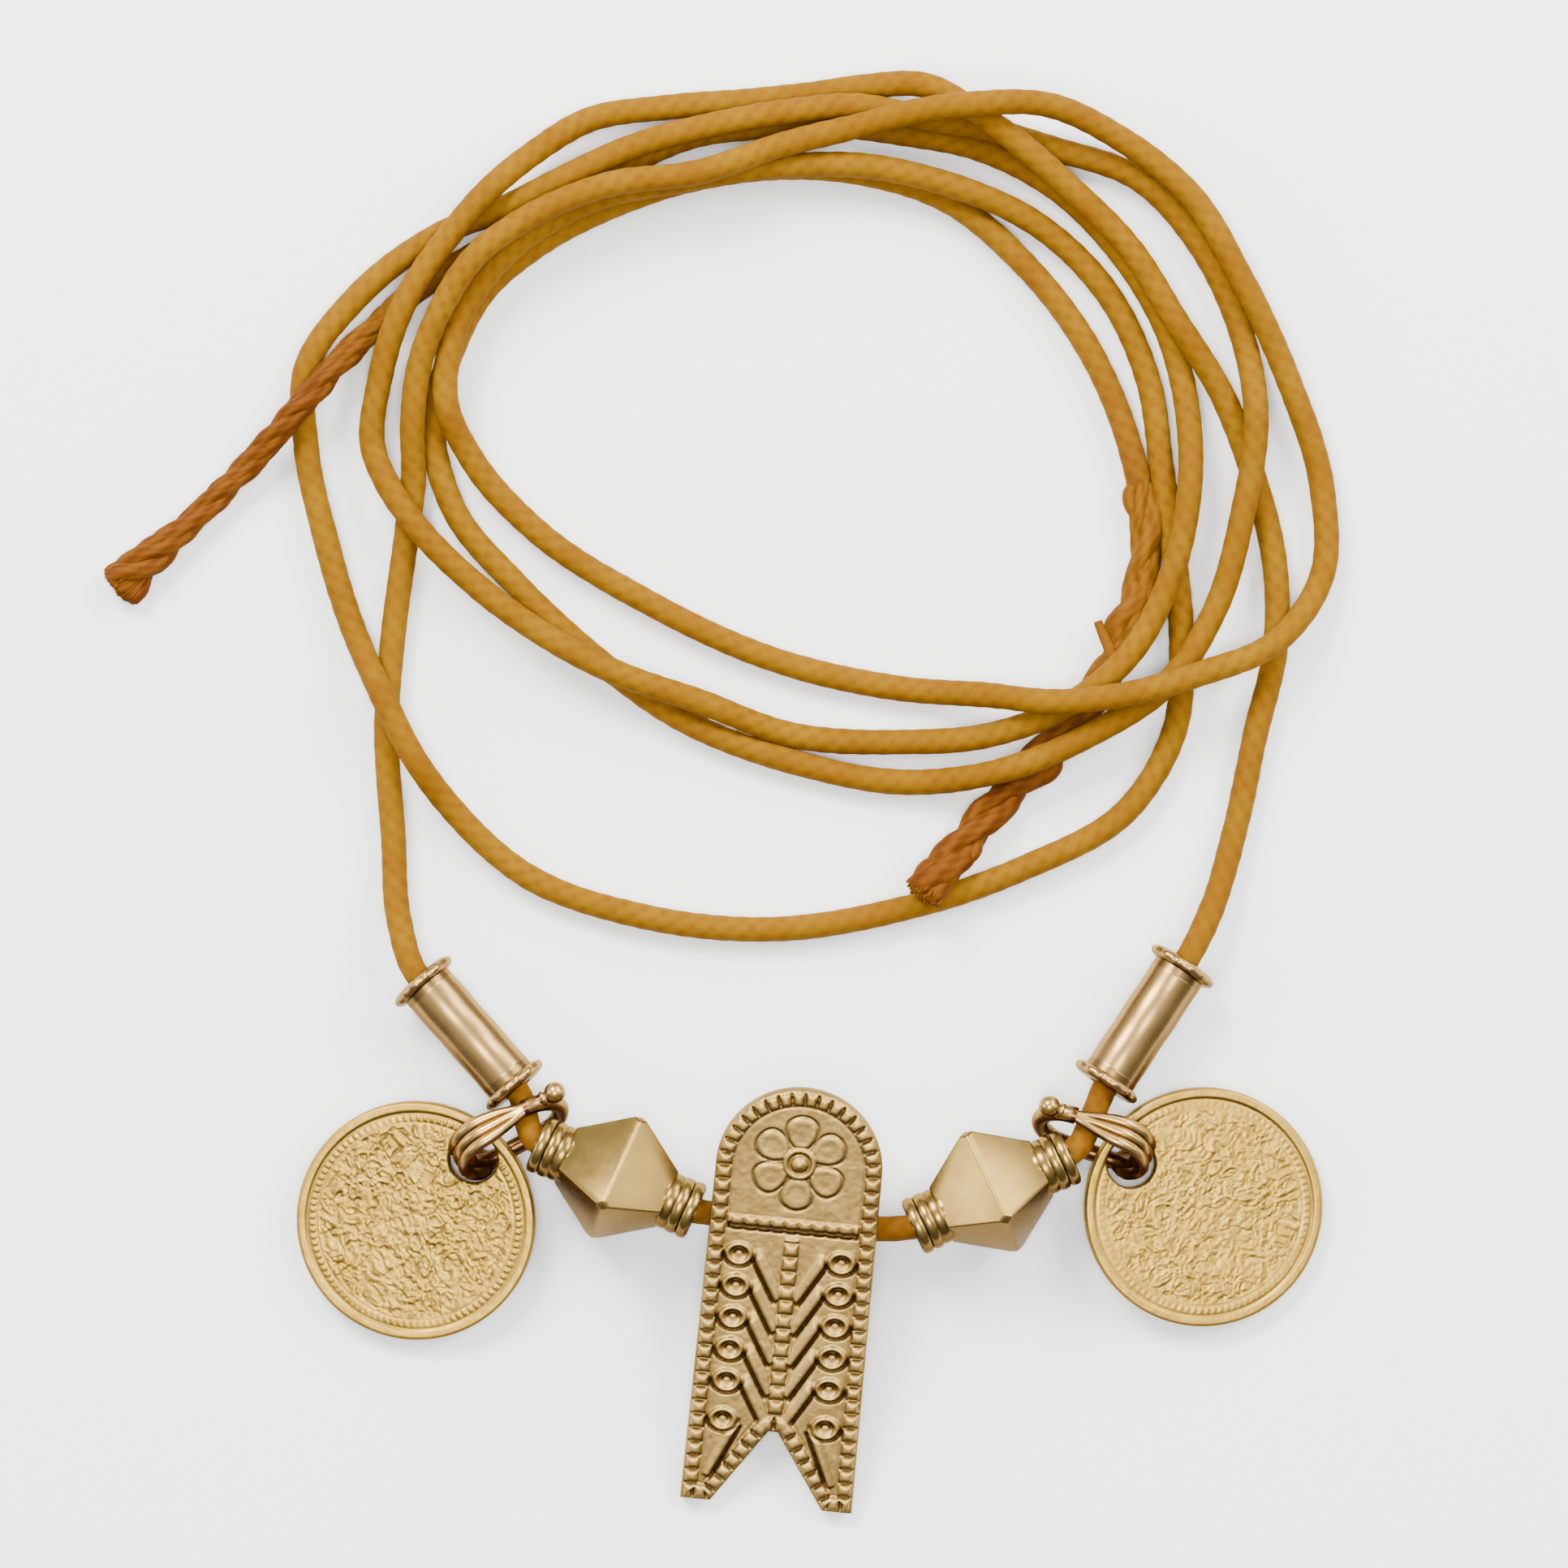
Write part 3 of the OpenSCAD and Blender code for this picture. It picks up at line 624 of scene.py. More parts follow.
def raised(h, form):
    """The height with a form laid over it; cuts outside the form stay."""
    return np.where(form > 0.004, np.maximum(h, form), h)


def groove(h):
    """How far a place lies under its surroundings, which the brass paints as shade; flat ground between
    raised forms counts little.
    """
    d = h - blur(h, 4)
    return np.where(h < -0.03, h * 0.5, np.where(d < 0, 0.18 * d, 0.6 * d))


def relief_plate(name, inside, front, back, x_range, y_range, pitch, thick, at, material, extra=(),
                 edge=0.22):
    """A plate cut to an outline, its front and back raised by height fields of x and y.

    `inside` gives the distance inside the outline, and `edge` is the radius of the rounded edge.
    """
    xs = np.arange(x_range[0], x_range[1] + pitch, pitch)
    ys = np.arange(y_range[0], y_range[1] + pitch, pitch)
    X, Y = np.meshgrid(xs, ys)
    D = inside(X, Y)
    keep = (D[:-1, :-1] + D[1:, :-1] + D[:-1, 1:] + D[1:, 1:]) / 4 > 0
    j, i = np.nonzero(keep)
    w = len(xs)
    quads = np.stack([j * w + i, j * w + i + 1, (j + 1) * w + i + 1, (j + 1) * w + i], -1)
    # the rim is every edge that only one quad has; its points are drawn out to the outline
    edges = np.concatenate([quads[:, [0, 1]], quads[:, [1, 2]], quads[:, [2, 3]], quads[:, [3, 0]]])
    key = np.sort(edges, 1) @ np.array([10_000_000, 1])
    _, first, count = np.unique(key, return_index=True, return_counts=True)
    rim = edges[first[count == 1]]
    gy, gx = np.gradient(D, pitch)
    flat = np.zeros(D.size, bool)
    flat[rim.reshape(-1)] = True
    on = flat.reshape(D.shape)
    g2 = np.maximum(gx**2 + gy**2, 0.3)
    X2 = np.where(on, X - D * gx / g2, X)
    Y2 = np.where(on, Y - D * gy / g2, Y)
    D2 = np.where(on, 0, np.maximum(D, 0))
    hf, hb = front(X2, Y2, D2), back(X2, Y2, D2)
    near = np.clip(1 - D2 / edge, 0, 1)
    drop = edge * (1 - np.sqrt(1 - near**2)) * 0.8
    zt = thick + hf - drop
    zb = -hb + drop
    # the brass paints shade into the relief's grooves and rubs its high places bright, partly a painted
    # highlight
    wf, wb = groove(hf), groove(hb)
    n = D.size
    v = np.concatenate([np.stack([X2, Y2, zt], -1).reshape(-1, 3), np.stack([X2, Y2, zb], -1).reshape(-1, 3)])
    wall = np.stack([rim[:, 1], rim[:, 0], rim[:, 0] + n, rim[:, 1] + n], -1)
    f = np.concatenate([quads, quads[:, ::-1] + n, wall])
    used = np.zeros(2 * n, bool)
    used[f.reshape(-1)] = True
    index = np.cumsum(used) - 1
    v, f = v[used], index[f].tolist()
    groove_shade_and_wear = np.concatenate([wf.reshape(-1), wb.reshape(-1)])[used]
    for ev, ef in extra:
        f += [[q + len(v) for q in face] for face in ef]
        v = np.vstack([v, ev])
        groove_shade_and_wear = np.concatenate([groove_shade_and_wear, np.zeros(len(ev))])
    return piece(name + "_metal", put(at, v), f, material, (name,), [("groove_shade_and_wear", groove_shade_and_wear)],
                 sharp=None, fix=False, paint_shade="relief")


# Pendant
PLATE_W, PLATE_T, PLATE_PITCH = 12.4, 1.1, 0.09
ARCH_R, ARCH_Y = PLATE_W / 2, 4.5
TAIL_X, TAIL_IN, TAIL_Y = PLATE_W / 2 + 0.25, 4.2, -21.8
NOTCH_X, NOTCH_Y = 0.35, -16.0
TILT, SWING = 15, -5.6
GRAIN_PITCH, RULE_PITCH, RIB_PITCH = 1.085, 1.02, 1.12
RINGS, RING_X, RING_TOP, RING_STEP = 5, 3.83, -2.35, 2.48
TAIL_RING_X, TAIL_RING_Y = 3.85, -15.3
FLOWER_Y, PETALS, PETAL_OUT = 5.0, 6, 2.3
pendant_at = chain(move(-1.05, 0.6, 0), turn("z", SWING), move(0, 0, -TAIL_Y * math.sin(math.radians(TILT))),
                   turn("x", TILT))

arc = [(ARCH_R * math.cos(q), ARCH_Y + ARCH_R * math.sin(q)) for q in np.linspace(0, math.pi, 121)]
tails = [(-TAIL_X, TAIL_Y), (-TAIL_IN, TAIL_Y), (-NOTCH_X, NOTCH_Y), (NOTCH_X, NOTCH_Y), (TAIL_IN, TAIL_Y),
         (TAIL_X, TAIL_Y)]
OUTLINE = np.array(arc + tails)


def to_outline(x, y):
    """Distance inside the plate's outline and the length along it of the nearest point."""
    best = np.full(x.shape, 1e9)
    where = np.zeros(x.shape)
    odd = np.zeros(x.shape, bool)
    run = 0.0
    for a, b in zip(OUTLINE, np.roll(OUTLINE, -1, axis=0)):
        d, along, _ = to_segment(x, y, a, b)
        ln = math.hypot(*(b - a))
        near = d < best
        best = np.where(near, d, best)
        where = np.where(near, run + np.clip(along, 0, ln), where)
        if a[1] != b[1]:
            cross = (a[1] > y) != (b[1] > y)
            odd ^= cross & (x < (b[0] - a[0]) * (y - a[1]) / (b[1] - a[1]) + a[0])
        run += ln
    return np.where(odd, best, -best), where


def grains(along, pitch):
    """A row of rounded grains with narrow gaps between them, 0 to 1."""
    q = np.abs(along / pitch - np.floor(along / pitch) - 0.5) * 2
    return np.sqrt(np.clip(1 - (q / 0.87) ** 3.2, 0, 1))


def half_round(d, half):
    """The section of a rounded bar, 0 to 1, over `half` each side."""
    return np.sqrt(np.clip(1 - (d / half) ** 4, 0, 1))


def pendant_front(x, y, e):
    """Height of the front over the plate; e is the distance inside the outline."""
    h = add_border(x, y, e)
    h = add_rule(h, x, y)
    for s in (-1, 1):
        for i in range(RINGS):
            cy = RING_TOP - RING_STEP * i
            h = add_bar(h, x, y, (s * 2.45, cy + 0.1), (s * 0.5, cy - 3.25), s, 0.3, 0.3, 0.9)
            h = add_ring(h, x, y, s * RING_X, cy)
        # the leaf in the tail is a bar that narrows downwards
        a, b = (s * 3.05, -15.6), (s * 4.75, -19.8)
        length = math.hypot(b[0] - a[0], b[1] - a[1])
        _, along, _ = to_segment(x, y, a, b)
        half = 0.34 - 0.16 * np.clip(along / length, 0, 1)
        h = add_bar(h, x, y, a, b, -s, half, 0.15, 0.7)
        h = add_ring(h, x, y, s * TAIL_RING_X, TAIL_RING_Y)
    h = add_rib(h, x, y)
    h = add_flower(h, x, y - FLOWER_Y)
    return h + 0.012 * grid_noise(x.shape, (60, 26), 5) + 0.008 * grid_noise(x.shape, (160, 70), 6)


def add_border(x, y, e):
    """A plain outer rim, then a lane of grains, then a thin groove."""
    _, run = to_outline(x, y)
    h = 0.08 * plateau(e - 0.05, 0.16, 0.12)
    lane = half_round(e - 0.68, 0.49)
    h = np.where(lane > 0.3, lane * (0.5 * grains(run, GRAIN_PITCH) - 0.13), h)
    return h - 0.05 * plateau(e - 1.3, 0.05, 0.14)


def add_rule(h, x, y):
    """A rule of small grains across the middle, with a deep groove below it."""
    in_rule = plateau(x, 4.85, 0.2)
    row = 0.3 + 0.7 * grains(x + 20, RULE_PITCH)
    h = raised(h, in_rule * 0.3 * half_round(y - 0.3, 0.34) * row)
    wave = 0.04 * np.cos(2 * np.pi * (x + 20) / RULE_PITCH)
    return h - 0.36 * in_rule * smoothstep((0.3 - np.abs(y + 0.26 - wave)) / 0.14)


def add_bar(h, x, y, a, b, lower_side, half, back, rise):
    """A bar from a to b with a soft upper side and a deep cut along its lower side.

    `half` is half its width, `back` how far the soft side falls off, and `rise` the length of its start.
    """
    _, along, across = to_segment(x, y, a, b)
    length = math.hypot(b[0] - a[0], b[1] - a[1])
    low = across * lower_side
    span = smoothstep((along + 0.5) / rise) * smoothstep((length + 0.12 - along) / 0.24)
    cut_span = smoothstep((along + 0.2) / 0.3) * smoothstep((length + 0.35 - along) / 0.3)
    h = h - 0.26 * np.exp(-((low + half + 0.26) / 0.13) ** 2) * cut_span * (h < 0.3)
    section = smoothstep((low + half + 0.18) / 0.24) * smoothstep((half + back - low) / (back + 0.25))
    return raised(h, 0.28 * section * span)


def add_ring(h, x, y, cx, cy):
    """A ring with a funnel-shaped hole, cut deep below."""
    r = np.hypot((x - cx) / 1.08, (y - cy) / 0.93)
    below = smoothstep((cy + 0.3 - y) / 0.6)
    above = smoothstep((y - cy + 0.3) / 0.45)
    h = h - 0.24 * np.exp(-((r - 1.1) / 0.11) ** 2) * below * (h < 0.3)
    h = np.where(r < 1.04, np.maximum(h, 0.36 * smoothstep((1.04 - r) / (0.12 + 0.16 * below))), h)
    funnel = 0.36 - 0.28 * smoothstep((0.76 - r) / 0.3)
    return np.where(r < 0.76, funnel - 0.34 * above * np.exp(-((r - 0.44) / 0.18) ** 2), h)


def add_rib(h, x, y):
    """A rib of grains down the middle."""
    rib = plateau(x, 0.5, 0.16) * plateau(y + 7.75, 6.85, 0.3)
    h = np.where(rib > 0.5, np.maximum(0.02, h * 0.2), h)
    return raised(h, 0.38 * rib * half_round(x, 0.56) * grains(y + 40.35, RIB_PITCH))


def add_flower(h, x, y):
    """Petals with raised rims and sunk middles round a ball in a ring."""
    r = np.hypot(x, y)
    for q in range(PETALS):
        a = math.radians(360 / PETALS * q + 30)
        px, py = PETAL_OUT * math.cos(a), PETAL_OUT * math.sin(a)
        u = (x - px) * math.cos(a) + (y - py) * math.sin(a)
        w = -(x - px) * math.sin(a) + (y - py) * math.cos(a)
        pr = np.hypot(u / 1.3, w / (1.1 + 0.22 * np.clip(u, -1, 1)))
        h = raised(h, 0.085 * smoothstep((0.98 - pr) / 0.14) - 0.02 * smoothstep((0.7 - pr) / 0.3))
        h = h - 0.17 * plateau(pr - 1.05, 0.04, 0.12) * (r > 1.2)
    h = np.where(r < 1.28, 0.2 * smoothstep((1.28 - r) / 0.16), h)
    h = np.where(r < 0.96, 0.2 - 0.2 * smoothstep((0.96 - r) / 0.18), h)
    ball = np.sqrt(np.clip(0.64**2 - r**2, 0, None))
    return np.maximum(h, np.where(r < 0.64, ball * 0.72, -1.0))


def pendant_back(x, y, e):
    return 0.02 * grid_noise(x.shape, (24, 10), 9) + 0.02 * plateau(e - 0.3, 0.15, 0.3)


def bail_tube():
    """The plain tube behind the plate that the cord runs through."""
    half, bore, outer, below = 3.8, 1.2, 1.6, 1.3
    xs = np.linspace(-half + 0.4, half - 0.4, 9)
    pr = [(-half, bore), (-half, outer - 0.08), (-half + 0.08, outer)] + [(x, outer) for x in xs]
    pr += [(half - 0.08, outer), (half, outer - 0.08), (half, bore)] + [(x, bore) for x in xs[::-1]]
    v, f = lathe(pr, 48)
    v[:, 2] -= below
    return v, [q[::-1] for q in f]


relief_plate("pendant", lambda x, y: to_outline(x, y)[0], pendant_front, pendant_back, (-6.7, 6.7),
             (-22.1, 11.0), PLATE_PITCH, PLATE_T, pendant_at, GOLD, [bail_tube()])

# Coins
COIN_D, COIN_T, HOLE_R, HOLE_D, COIN_PITCH = 17.9, 1.2, 6.4, 3.6, 0.08
COIN_LIFT = 1.9
CURLS = ((3.2, 10, 0.95), (4.7, 15, 0.95), (6.2, 20, 0.95))
TEETH = 96


def coin_inside(x, y):
    """Distance inside the coin's outline and outside its hole."""
    return np.minimum(COIN_D / 2 - np.hypot(x, y), np.hypot(x - HOLE_R, y) - HOLE_D / 2)


def coin_art(r, a, rw, aw, pick):
    """A rosette of eight petals with rings of curls round it, 0 to 1.

    r and a are the plain polar coordinates, rw and aw those of the slightly warped field.
    """
    art = np.zeros(r.shape)
    for q in range(8):
        b = math.radians(45 * q + 22.5)
        pr = np.hypot((r * np.cos(a - b) - 1.55) / 0.85, r * np.sin(a - b) / 0.52)
        art = np.maximum(art, plateau(pr - 0.8, 0.12, 0.3))
    art = np.maximum(art, smoothstep((0.55 - r) / 0.25))
    for radius, count, size in CURLS:
        for q in range(count):
            b = 2 * math.pi * (q + pick.uniform(-0.25, 0.25)) / count
            hand = pick.choice([-1, 1])
            u = rw * np.cos(aw - b) - radius - pick.uniform(-0.2, 0.2)
            w = (rw * np.sin(aw - b)) * hand
            rr, aa = np.hypot(u, w), np.arctan2(u, w)
            wound = ((aa + 2.6 * pick.uniform(0.7, 1.3)) % (2 * math.pi)) / (2 * math.pi)
            curl = rr - size * (0.3 + 0.62 * wound)
            art = np.where(rr < size * 1.1, np.maximum(art, plateau(curl, 0.07, 0.16)), art)
    return art


def coin_relief(seed, spin, crisp):
    """The height field of a worn coin; `crisp` is how much of its relief is left."""
    def height(x, y, e):
        r = np.hypot(x, y)
        a = np.arctan2(y, x) + spin
        R = COIN_D / 2
        wx, wy = x + 0.5 * noise2(x, y, 1.3, seed + 3), y + 0.5 * noise2(x, y, 1.3, seed + 4)
        pick = np.random.default_rng(seed + 7)
        art = coin_art(r, a, np.hypot(wx, wy), np.arctan2(wy, wx) + spin, pick)
        # worn islands of older relief between them, and thin cuts
        keep = 0.5 + 0.5 * noise2(x, y, 3.2, seed)
        n = noise2(wx, wy, 0.62, seed + 5) + 0.8 * noise2(wx, wy, 0.33, seed + 6)
        line = noise2(wx, wy, 0.75, seed + 10) + 0.25 * noise2(x, y, 0.4, seed + 11)
        cuts = smoothstep((0.1 - np.abs(line)) / 0.07)
        cuts = np.maximum(cuts, keep * smoothstep((0.09 - np.abs(noise2(wx, wy, 0.5, seed + 12))) / 0.07))
        islands = smoothstep((np.abs(n) - 0.04) / 0.2) * (0.6 + 0.4 * np.sign(n))
        field = 0.07 * art * (0.3 + 0.7 * keep) + 0.04 * islands * (1.15 - 0.4 * keep)
        field = field - 0.085 * cuts * (0.5 + 0.5 * keep)
        field = field + 0.03 * noise2(wx, wy, 0.24, seed + 8) + 0.015 * noise2(wx, wy, 0.5, seed + 9) - 0.02
        h = crisp * field * smoothstep((7.35 - r) / 0.25)
        # teeth, a groove each side of them and the raised rim
        tooth = smoothstep((0.5 + 0.5 * np.cos(TEETH * a)) * 1.6 - 0.3)
        show = crisp**2 * (0.2 + 0.8 * smoothstep(0.5 + 0.9 * noise2(x, y, 4.0, seed + 9)))
        h = raised(h, 0.08 * tooth * show * plateau(r - (R - 1.2), 0.18, 0.12))
        h = h - 0.07 * plateau(r - (R - 1.52), 0.03, 0.12) * show
        h = h - 0.08 * plateau(r - (R - 0.82), 0.03, 0.12)
        rubbed = 0.85 + 0.15 * noise2(x, y, 1.7, seed + 2)
        h = raised(h, 0.13 * smoothstep((r - (R - 0.74)) / 0.12) * rubbed)
        return h + 0.006 * grid_noise(x.shape, (90, 90), seed + 2)
    return height


def coin_back(x, y, e):
    return 0 * x + 0.01 * plateau(e - 0.4, 0.3, 0.2)


def coin(name, at, spin, seed, crisp):
    """A coin that lies on its outer edge and is lifted at its hole."""
    tilt = math.degrees(math.asin(COIN_LIFT / (COIN_D / 2 + HOLE_R)))
    rise = COIN_D / 2 * math.sin(math.radians(tilt))
    m = chain(move(at[0], at[1], 0), turn("z", spin), move(0, 0, rise), turn("y", -tilt))
    half = COIN_D / 2 + 0.1
    relief_plate(name, coin_inside, coin_relief(seed, 0.4, crisp), coin_back, (-half, half), (-half, half),
                 COIN_PITCH, COIN_T, m, COIN)


coin("coin_left", (-29.2, 0.8), 47, 21, 0.95)
coin("coin_right", (29.5, 1.8), 149, 31, 0.68)

# Faceted beads
BORE_R = 1.22
BEAD_SLOPE, BEAD_HALF, BEAD_ACROSS, BEAD_END = 28.3, 4.0, 10.5, 4.15


def rings(x0, x1, base, bumps, step=0.04):
    """Outer radius along x: a base with rounded rings (centre, half width, height)."""
    xs = np.arange(x0, x1 + step / 2, step)
    r = np.full(xs.shape, float(base))
    for c, w, h in bumps:
        q = np.clip(1 - ((xs - c) / w) ** 2, 0, None)
        r = np.maximum(r, base + h * np.sqrt(q))
    return xs, r


def collar(sign):
    """The ribbed collar at one end of a faceted bead."""
    start, end = 3.3, 6.5
    xs, r = rings(start, end, 2.0, [(4.4, 0.42, 0.13), (5.2, 0.42, 0.2), (6.04, 0.42, 0.22)])
    r = np.where(xs > end - 0.06, r - 0.08, r)
    pr = list(zip(xs, r)) + [(x, BORE_R) for x in np.linspace(end, start, 14)]
    v, f = lathe(pr, 72)
    v[:, 0] *= sign
    return v, f


def corners(planes):
    """The corners of the solid that lies behind all the planes (normal, distance)."""
    n = np.array([p[0] for p in planes], float)
    c = np.array([p[1] for p in planes], float)
    points = []
    for i in range(len(n)):
        for j in range(i):
            for k in range(j):
                m = n[[i, j, k]]
                if abs(np.linalg.det(m)) > 1e-6:
                    p = np.linalg.solve(m, c[[i, j, k]])
                    if (n @ p <= c + 1e-6).all():
                        points.append(p)
    return np.unique(np.round(points, 5), axis=0)


def bead_body(spin):
    """Two four-sided pyramids base to base, their tips cut off, with slightly cut side corners."""
    slope = math.tan(math.radians(BEAD_SLOPE))
    planes = []
    for s in (-1, 1):
        for q in (-1, 1):
            planes.append(((q * slope, s, 0), BEAD_HALF))
            planes.append(((q * slope, 0, s), BEAD_HALF))
            planes.append(((0, s, q), BEAD_ACROSS / math.sqrt(2)))
        planes.append(((s, 0, 0), BEAD_END))
    b = bmesh.new()
    for p in corners(planes):
        b.verts.new(p)
    bmesh.ops.convex_hull(b, input=b.verts)
    bmesh.ops.dissolve_limit(b, angle_limit=0.02, verts=b.verts, edges=b.edges)
    bmesh.ops.bevel(b, geom=b.edges[:], offset=0.13, segments=3, profile=0.6, affect="EDGES",
                    clamp_overlap=True)
    bmesh.ops.recalc_face_normals(b, faces=b.faces)
    b.verts.index_update()
    v = np.array([p.co[:] for p in b.verts])
    f = [[q.index for q in face.verts] for face in b.faces]
    b.free()
    return put(turn("x", spin), v), f


def bead(name, at, spin, tilt):
    m = chain(move(*at), turn("z", spin), turn("y", tilt))
    v, f = join([bead_body(-20.5), collar(1), collar(-1)])
    r = np.hypot(v[:, 1], v[:, 2])
    # collar grooves in painted shade, ring tops rubbed bright, partly a painted highlight
    groove_shade_and_wear = np.where(np.abs(v[:, 0]) > 4.1, (r - 2.16) * 0.35, 0.0)
    piece(name + "_metal", put(m, v), f, BEAD, (name,), [("groove_shade_and_wear", groove_shade_and_wear)], sharp=30)


bead("bead_left", (-14.25, 4.05, 5.05), -23.6, -1.5)
bead("bead_right", (13.7, 3, 5.05), 24.7, 1.5)

# Tube beads
TUBE_HALF, TUBE_R, FLANGE_X, FLANGE_W, FLANGE_UP = 5.6, 2.04, 5.16, 0.44, 0.6


def tube_bead(name, at, spin, tilt):
    """A plain tube with a slightly lobed round flange at each end."""
    xs, r = rings(-TUBE_HALF, TUBE_HALF, TUBE_R, [(s * FLANGE_X, FLANGE_W, FLANGE_UP) for s in (-1, 1)])
    r = r + 0.02 * np.sin(xs * 1.7) * (np.abs(xs) < 4.2)
    pr = list(zip(xs, r)) + [(x, BORE_R) for x in np.linspace(TUBE_HALF, -TUBE_HALF, 30)]
    v, f = lathe(pr, 84)
    rr, around = np.hypot(v[:, 1], v[:, 2]), np.arctan2(v[:, 2], v[:, 1])
    lobes = 1 + 0.022 * np.cos(14 * around) * smoothstep((rr - 2.3) / 0.3)
    v[:, 1:] *= lobes[:, None]
    # painted shade inside the bore and at the foot of the flanges, the flanges' rims rubbed bright, partly a
    # painted highlight
    groove_shade_and_wear = np.where(rr < 1.4, -0.1, np.where(np.abs(v[:, 0]) > 4.2, (rr - 2.2) * 0.2, 0.0))
    m = chain(move(*at), turn("z", spin), turn("y", tilt))
    piece(name + "_metal", put(m, v), f, TUBE, (name,), [("groove_shade_and_wear", groove_shade_and_wear)], sharp=45)


tube_bead("tube_left", (-25.3, 14.75, 3.05), -48.6, -4)
tube_bead("tube_right", (25.15, 15.45, 3.05), 56.5, 4)

# Bails
RING_R, RING_L, WIRE_R, BAND_W = 2.4, 3.4, 0.65, 2.6


def arc_xz(cx, cz, r, a0, a1, n):
    """n points of an arc in the XZ plane, angles in degrees."""
    a = np.radians(np.linspace(a0, a1, n))
    return np.stack([cx + r * np.cos(a), 0 * a, cz + r * np.sin(a)], -1)


def bail_band(ball_x):
    """The ribbed band over the cord: three ridges that close up into a plain neck."""
    neck = [[x, 0, RING_R] for x in np.linspace(0.1, ball_x - 1.3, 60)]
    path = np.vstack([arc_xz(0, 0, RING_R, 262, 90, 80), neck])
    path[:, 0] = np.where(path[:, 0] < 0, path[:, 0] * 1.07, path[:, 0])
    s = length_along(path)
    bend = RING_R * math.pi
    end = s[-1]
    wide = np.interp(s, [0, 0.7, 1.4, 3.4, 5.0], [0.46, 0.9, 1.1, 1.1, 1.0])
    wide = wide * (1 - 0.68 * smoothstep((s - bend * 0.94) / (end - bend * 0.94)))
    ridge = smoothstep((s - 0.6) / 1.6) * (1 - smoothstep((s - bend - 1.4) / 1.6))
    w = np.linspace(-1, 1, 61)
    lobe, apart = 0.36, 0.66
    three = [np.sqrt(np.clip(lobe**2 - (w - k * apart) ** 2, 0, None)) / lobe for k in (-1, 0, 1)]
    lobes = np.max(three, axis=0)
    smooth = np.sqrt(np.clip(1 - np.abs(w) ** 2.6, 0, None))
    outer = 0.46 * (ridge[:, None] * lobes + (1 - ridge[:, None]) * smooth) * (0.45 + 0.55 * wide[:, None])
    across = wide[:, None] * BAND_W / 2 * w
    under = np.linspace(0.96, -0.96, 9)
    low = np.broadcast_to(-0.3 * np.sqrt(1 - under**4 * 0.9), (len(s), 9))
    u = np.hstack([outer, low])
    width = np.hstack([across, wide[:, None] * BAND_W / 2 * under])
    v, f = sweep(path, np.stack([u, width], -1), (0, -1, 0))
    # painted shade in the grooves between the ridges and on the band's underside, ridge tops a little
    # brighter
    dark = np.hstack([np.minimum(lobes - 0.72, 0.1) * 0.3 * ridge[:, None], np.full((len(s), 9), -0.09)])
    return v, f, dark.reshape(-1)


def bail_wire():
    """The round wire that closes the ring below."""
    foot = [[x, 0, -RING_R] for x in np.linspace(0.15, RING_L - 0.15, 22)]
    path = np.vstack([arc_xz(0, 0, RING_R, 215, 270, 26), foot, arc_xz(RING_L, 0, RING_R, -90, 90, 60)])
    v, f = tube(path, WIRE_R, 24, ref=(0, 1, 0))
    # painted shade along the wire, lighter on the outer part of its far bend
    return v, f, np.where(v[:, 0] < RING_L + 0.4, -0.07, -0.02)


def bail_ball(ball_x):
    """Neck, thin ring and ball at the end of the band."""
    neck_r, bead_x, ball_r = 0.42, ball_x - 0.95, 0.8
    pr = [(ball_x - 1.85, 0.05), (ball_x - 1.8, neck_r), (ball_x - 1.4, 0.4)]
    for a in np.linspace(math.pi, 0, 9):
        pr.append((bead_x + 0.22 * math.cos(a), neck_r + 0.16 * math.sin(a)))
    for a in np.linspace(2.6, 0.02, 30):
        pr.append((ball_x + ball_r * math.cos(a), ball_r * math.sin(a)))
    v, f = lathe(pr, 48)
    v[:, 2] += RING_R
    rr = np.hypot(v[:, 1], v[:, 2] - RING_R)
    # painted shade on the neck below the ball
    return v, f, np.where((v[:, 0] < ball_x - 0.7) & (rr < 0.52), -0.06, 0.0)


def bail(name, at, spin, lean, ball_x, flip):
    """A ribbed ring with its neck and ball; `flip` turns the ball to the other side."""
    parts = [bail_band(ball_x), bail_wire(), bail_ball(ball_x)]
    v, f = join([part[:2] for part in parts])
    groove_shade_and_wear = np.concatenate([part[2] for part in parts])
    if flip:
        v[:, 0] *= -1
    m = chain(move(*at), turn("z", spin), turn("x", lean))
    piece(name + "_metal", put(m, v), f, BAIL, (name,), [("groove_shade_and_wear", groove_shade_and_wear)], sharp=45)


bail("bail_left", (-23.65, 6.55, 3.4), 28, -28, 6.05, False)
bail("bail_right", (22.85, 6.4, 3.4), -20, -28, 5.55, True)

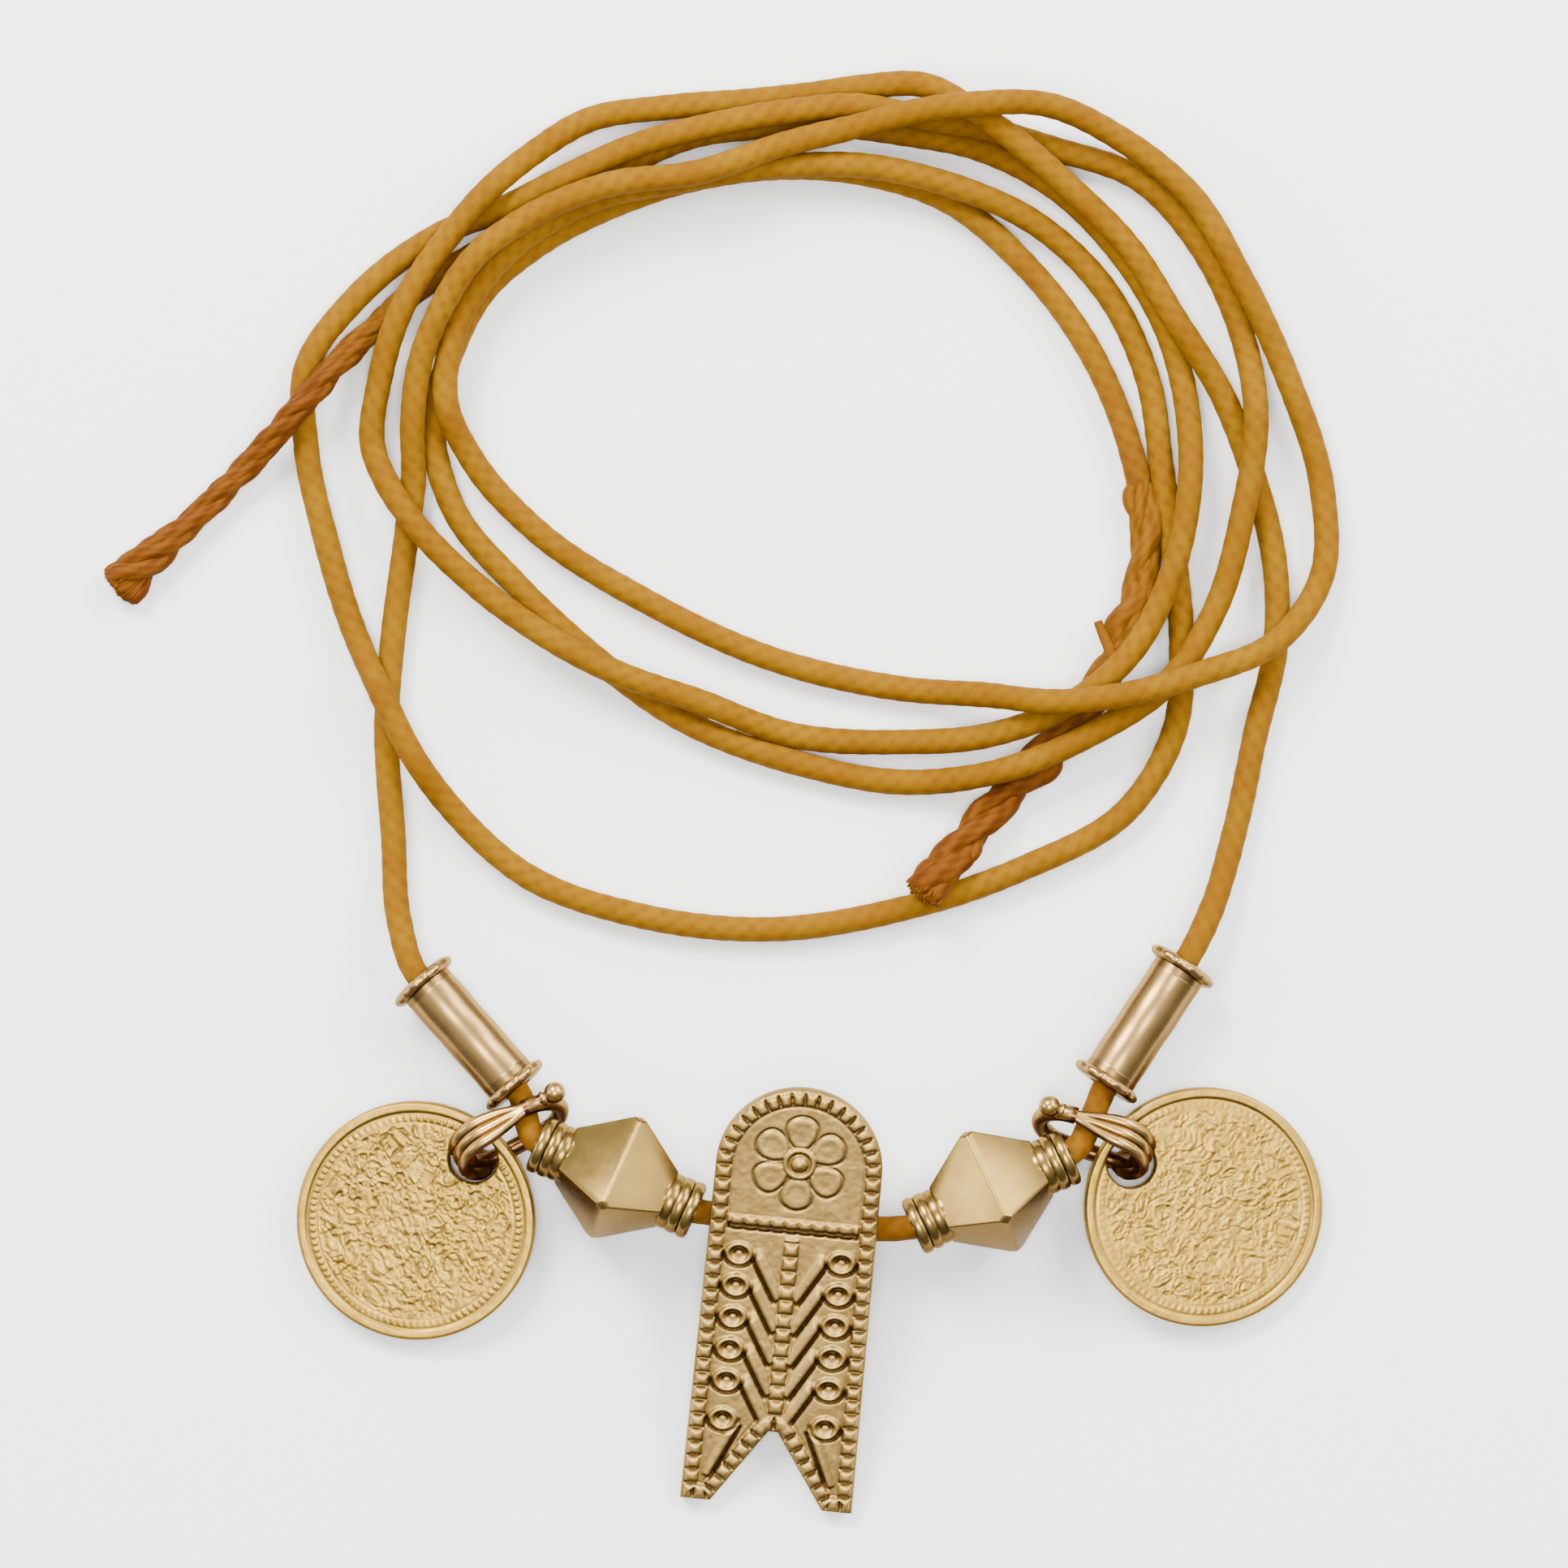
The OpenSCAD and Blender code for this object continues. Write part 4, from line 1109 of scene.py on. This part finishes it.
# Floor and light
FLOOR_HALF, FLOOR_Z = 1.5, -0.0002
floor_mesh = bpy.data.meshes.new("floor")
floor_corners = [(x * FLOOR_HALF, y * FLOOR_HALF, FLOOR_Z) for x, y in ((-1, -1), (1, -1), (1, 1), (-1, 1))]
floor_mesh.from_pydata(floor_corners, [], [[0, 1, 2, 3]])
floor = bpy.data.objects.new("floor", floor_mesh)
bpy.context.scene.collection.objects.link(floor)
white = Nodes("floor_white")
white.b.inputs["Base Color"].default_value = (0.93, 0.93, 0.93, 1)
white.b.inputs["Roughness"].default_value = 0.9
white.b.inputs["Specular IOR Level"].default_value = 0.1
floor_mesh.materials.append(white.m)


def area(name, at, size, power, colour=(1, 1, 1), aim=(0, 0.033, 0)):
    """A soft square light that looks at the middle of the necklace."""
    d = bpy.data.lights.new(name, "AREA")
    d.shape, d.size, d.energy, d.color = "SQUARE", size, power, colour
    o = bpy.data.objects.new(name, d)
    bpy.context.scene.collection.objects.link(o)
    o.location = at
    o.rotation_euler = Vector(np.array(aim) - np.array(at)).to_track_quat("-Z", "Y").to_euler()


area("top", (-0.02, -0.05, 0.8), 0.26, 6.5)
area("back_left", (-0.32, 0.56, 0.6), 0.34, 15.0, (1, 0.99, 0.97))
area("mid_right", (0.52, 0.36, 0.6), 0.34, 8.0)
area("back_right", (0.36, 0.6, 0.34), 0.3, 3.2, (1, 0.985, 0.96))
area("left", (-0.66, 0.1, 0.31), 0.26, 2.0, (1, 0.99, 0.97))
area("right", (0.66, 0.1, 0.31), 0.26, 1.2)


def studio_world():
    """A pale studio, brighter overhead towards the back."""
    world = bpy.data.worlds.new("studio")
    world.use_nodes = True
    tree = world.node_tree
    sky = tree.nodes.new("ShaderNodeTexCoord")
    towards = tree.nodes.new("ShaderNodeVectorMath")
    towards.operation = "DOT_PRODUCT"
    towards.inputs[1].default_value = (-0.15, 0.45, 0.88)
    tree.links.new(sky.outputs["Generated"], towards.inputs[0])
    ramp = tree.nodes.new("ShaderNodeMapRange")
    ramp.interpolation_type = "SMOOTHSTEP"
    for key, val in (("From Min", 0.1), ("From Max", 0.95), ("To Min", 0.22), ("To Max", 1.35)):
        ramp.inputs[key].default_value = val
    tree.links.new(towards.outputs["Value"], ramp.inputs["Value"])
    tree.links.new(ramp.outputs[0], tree.nodes["Background"].inputs["Strength"])
    tree.nodes["Background"].inputs["Color"].default_value = (0.97, 0.98, 1.0, 1)
    return world


bpy.context.scene.world = studio_world()
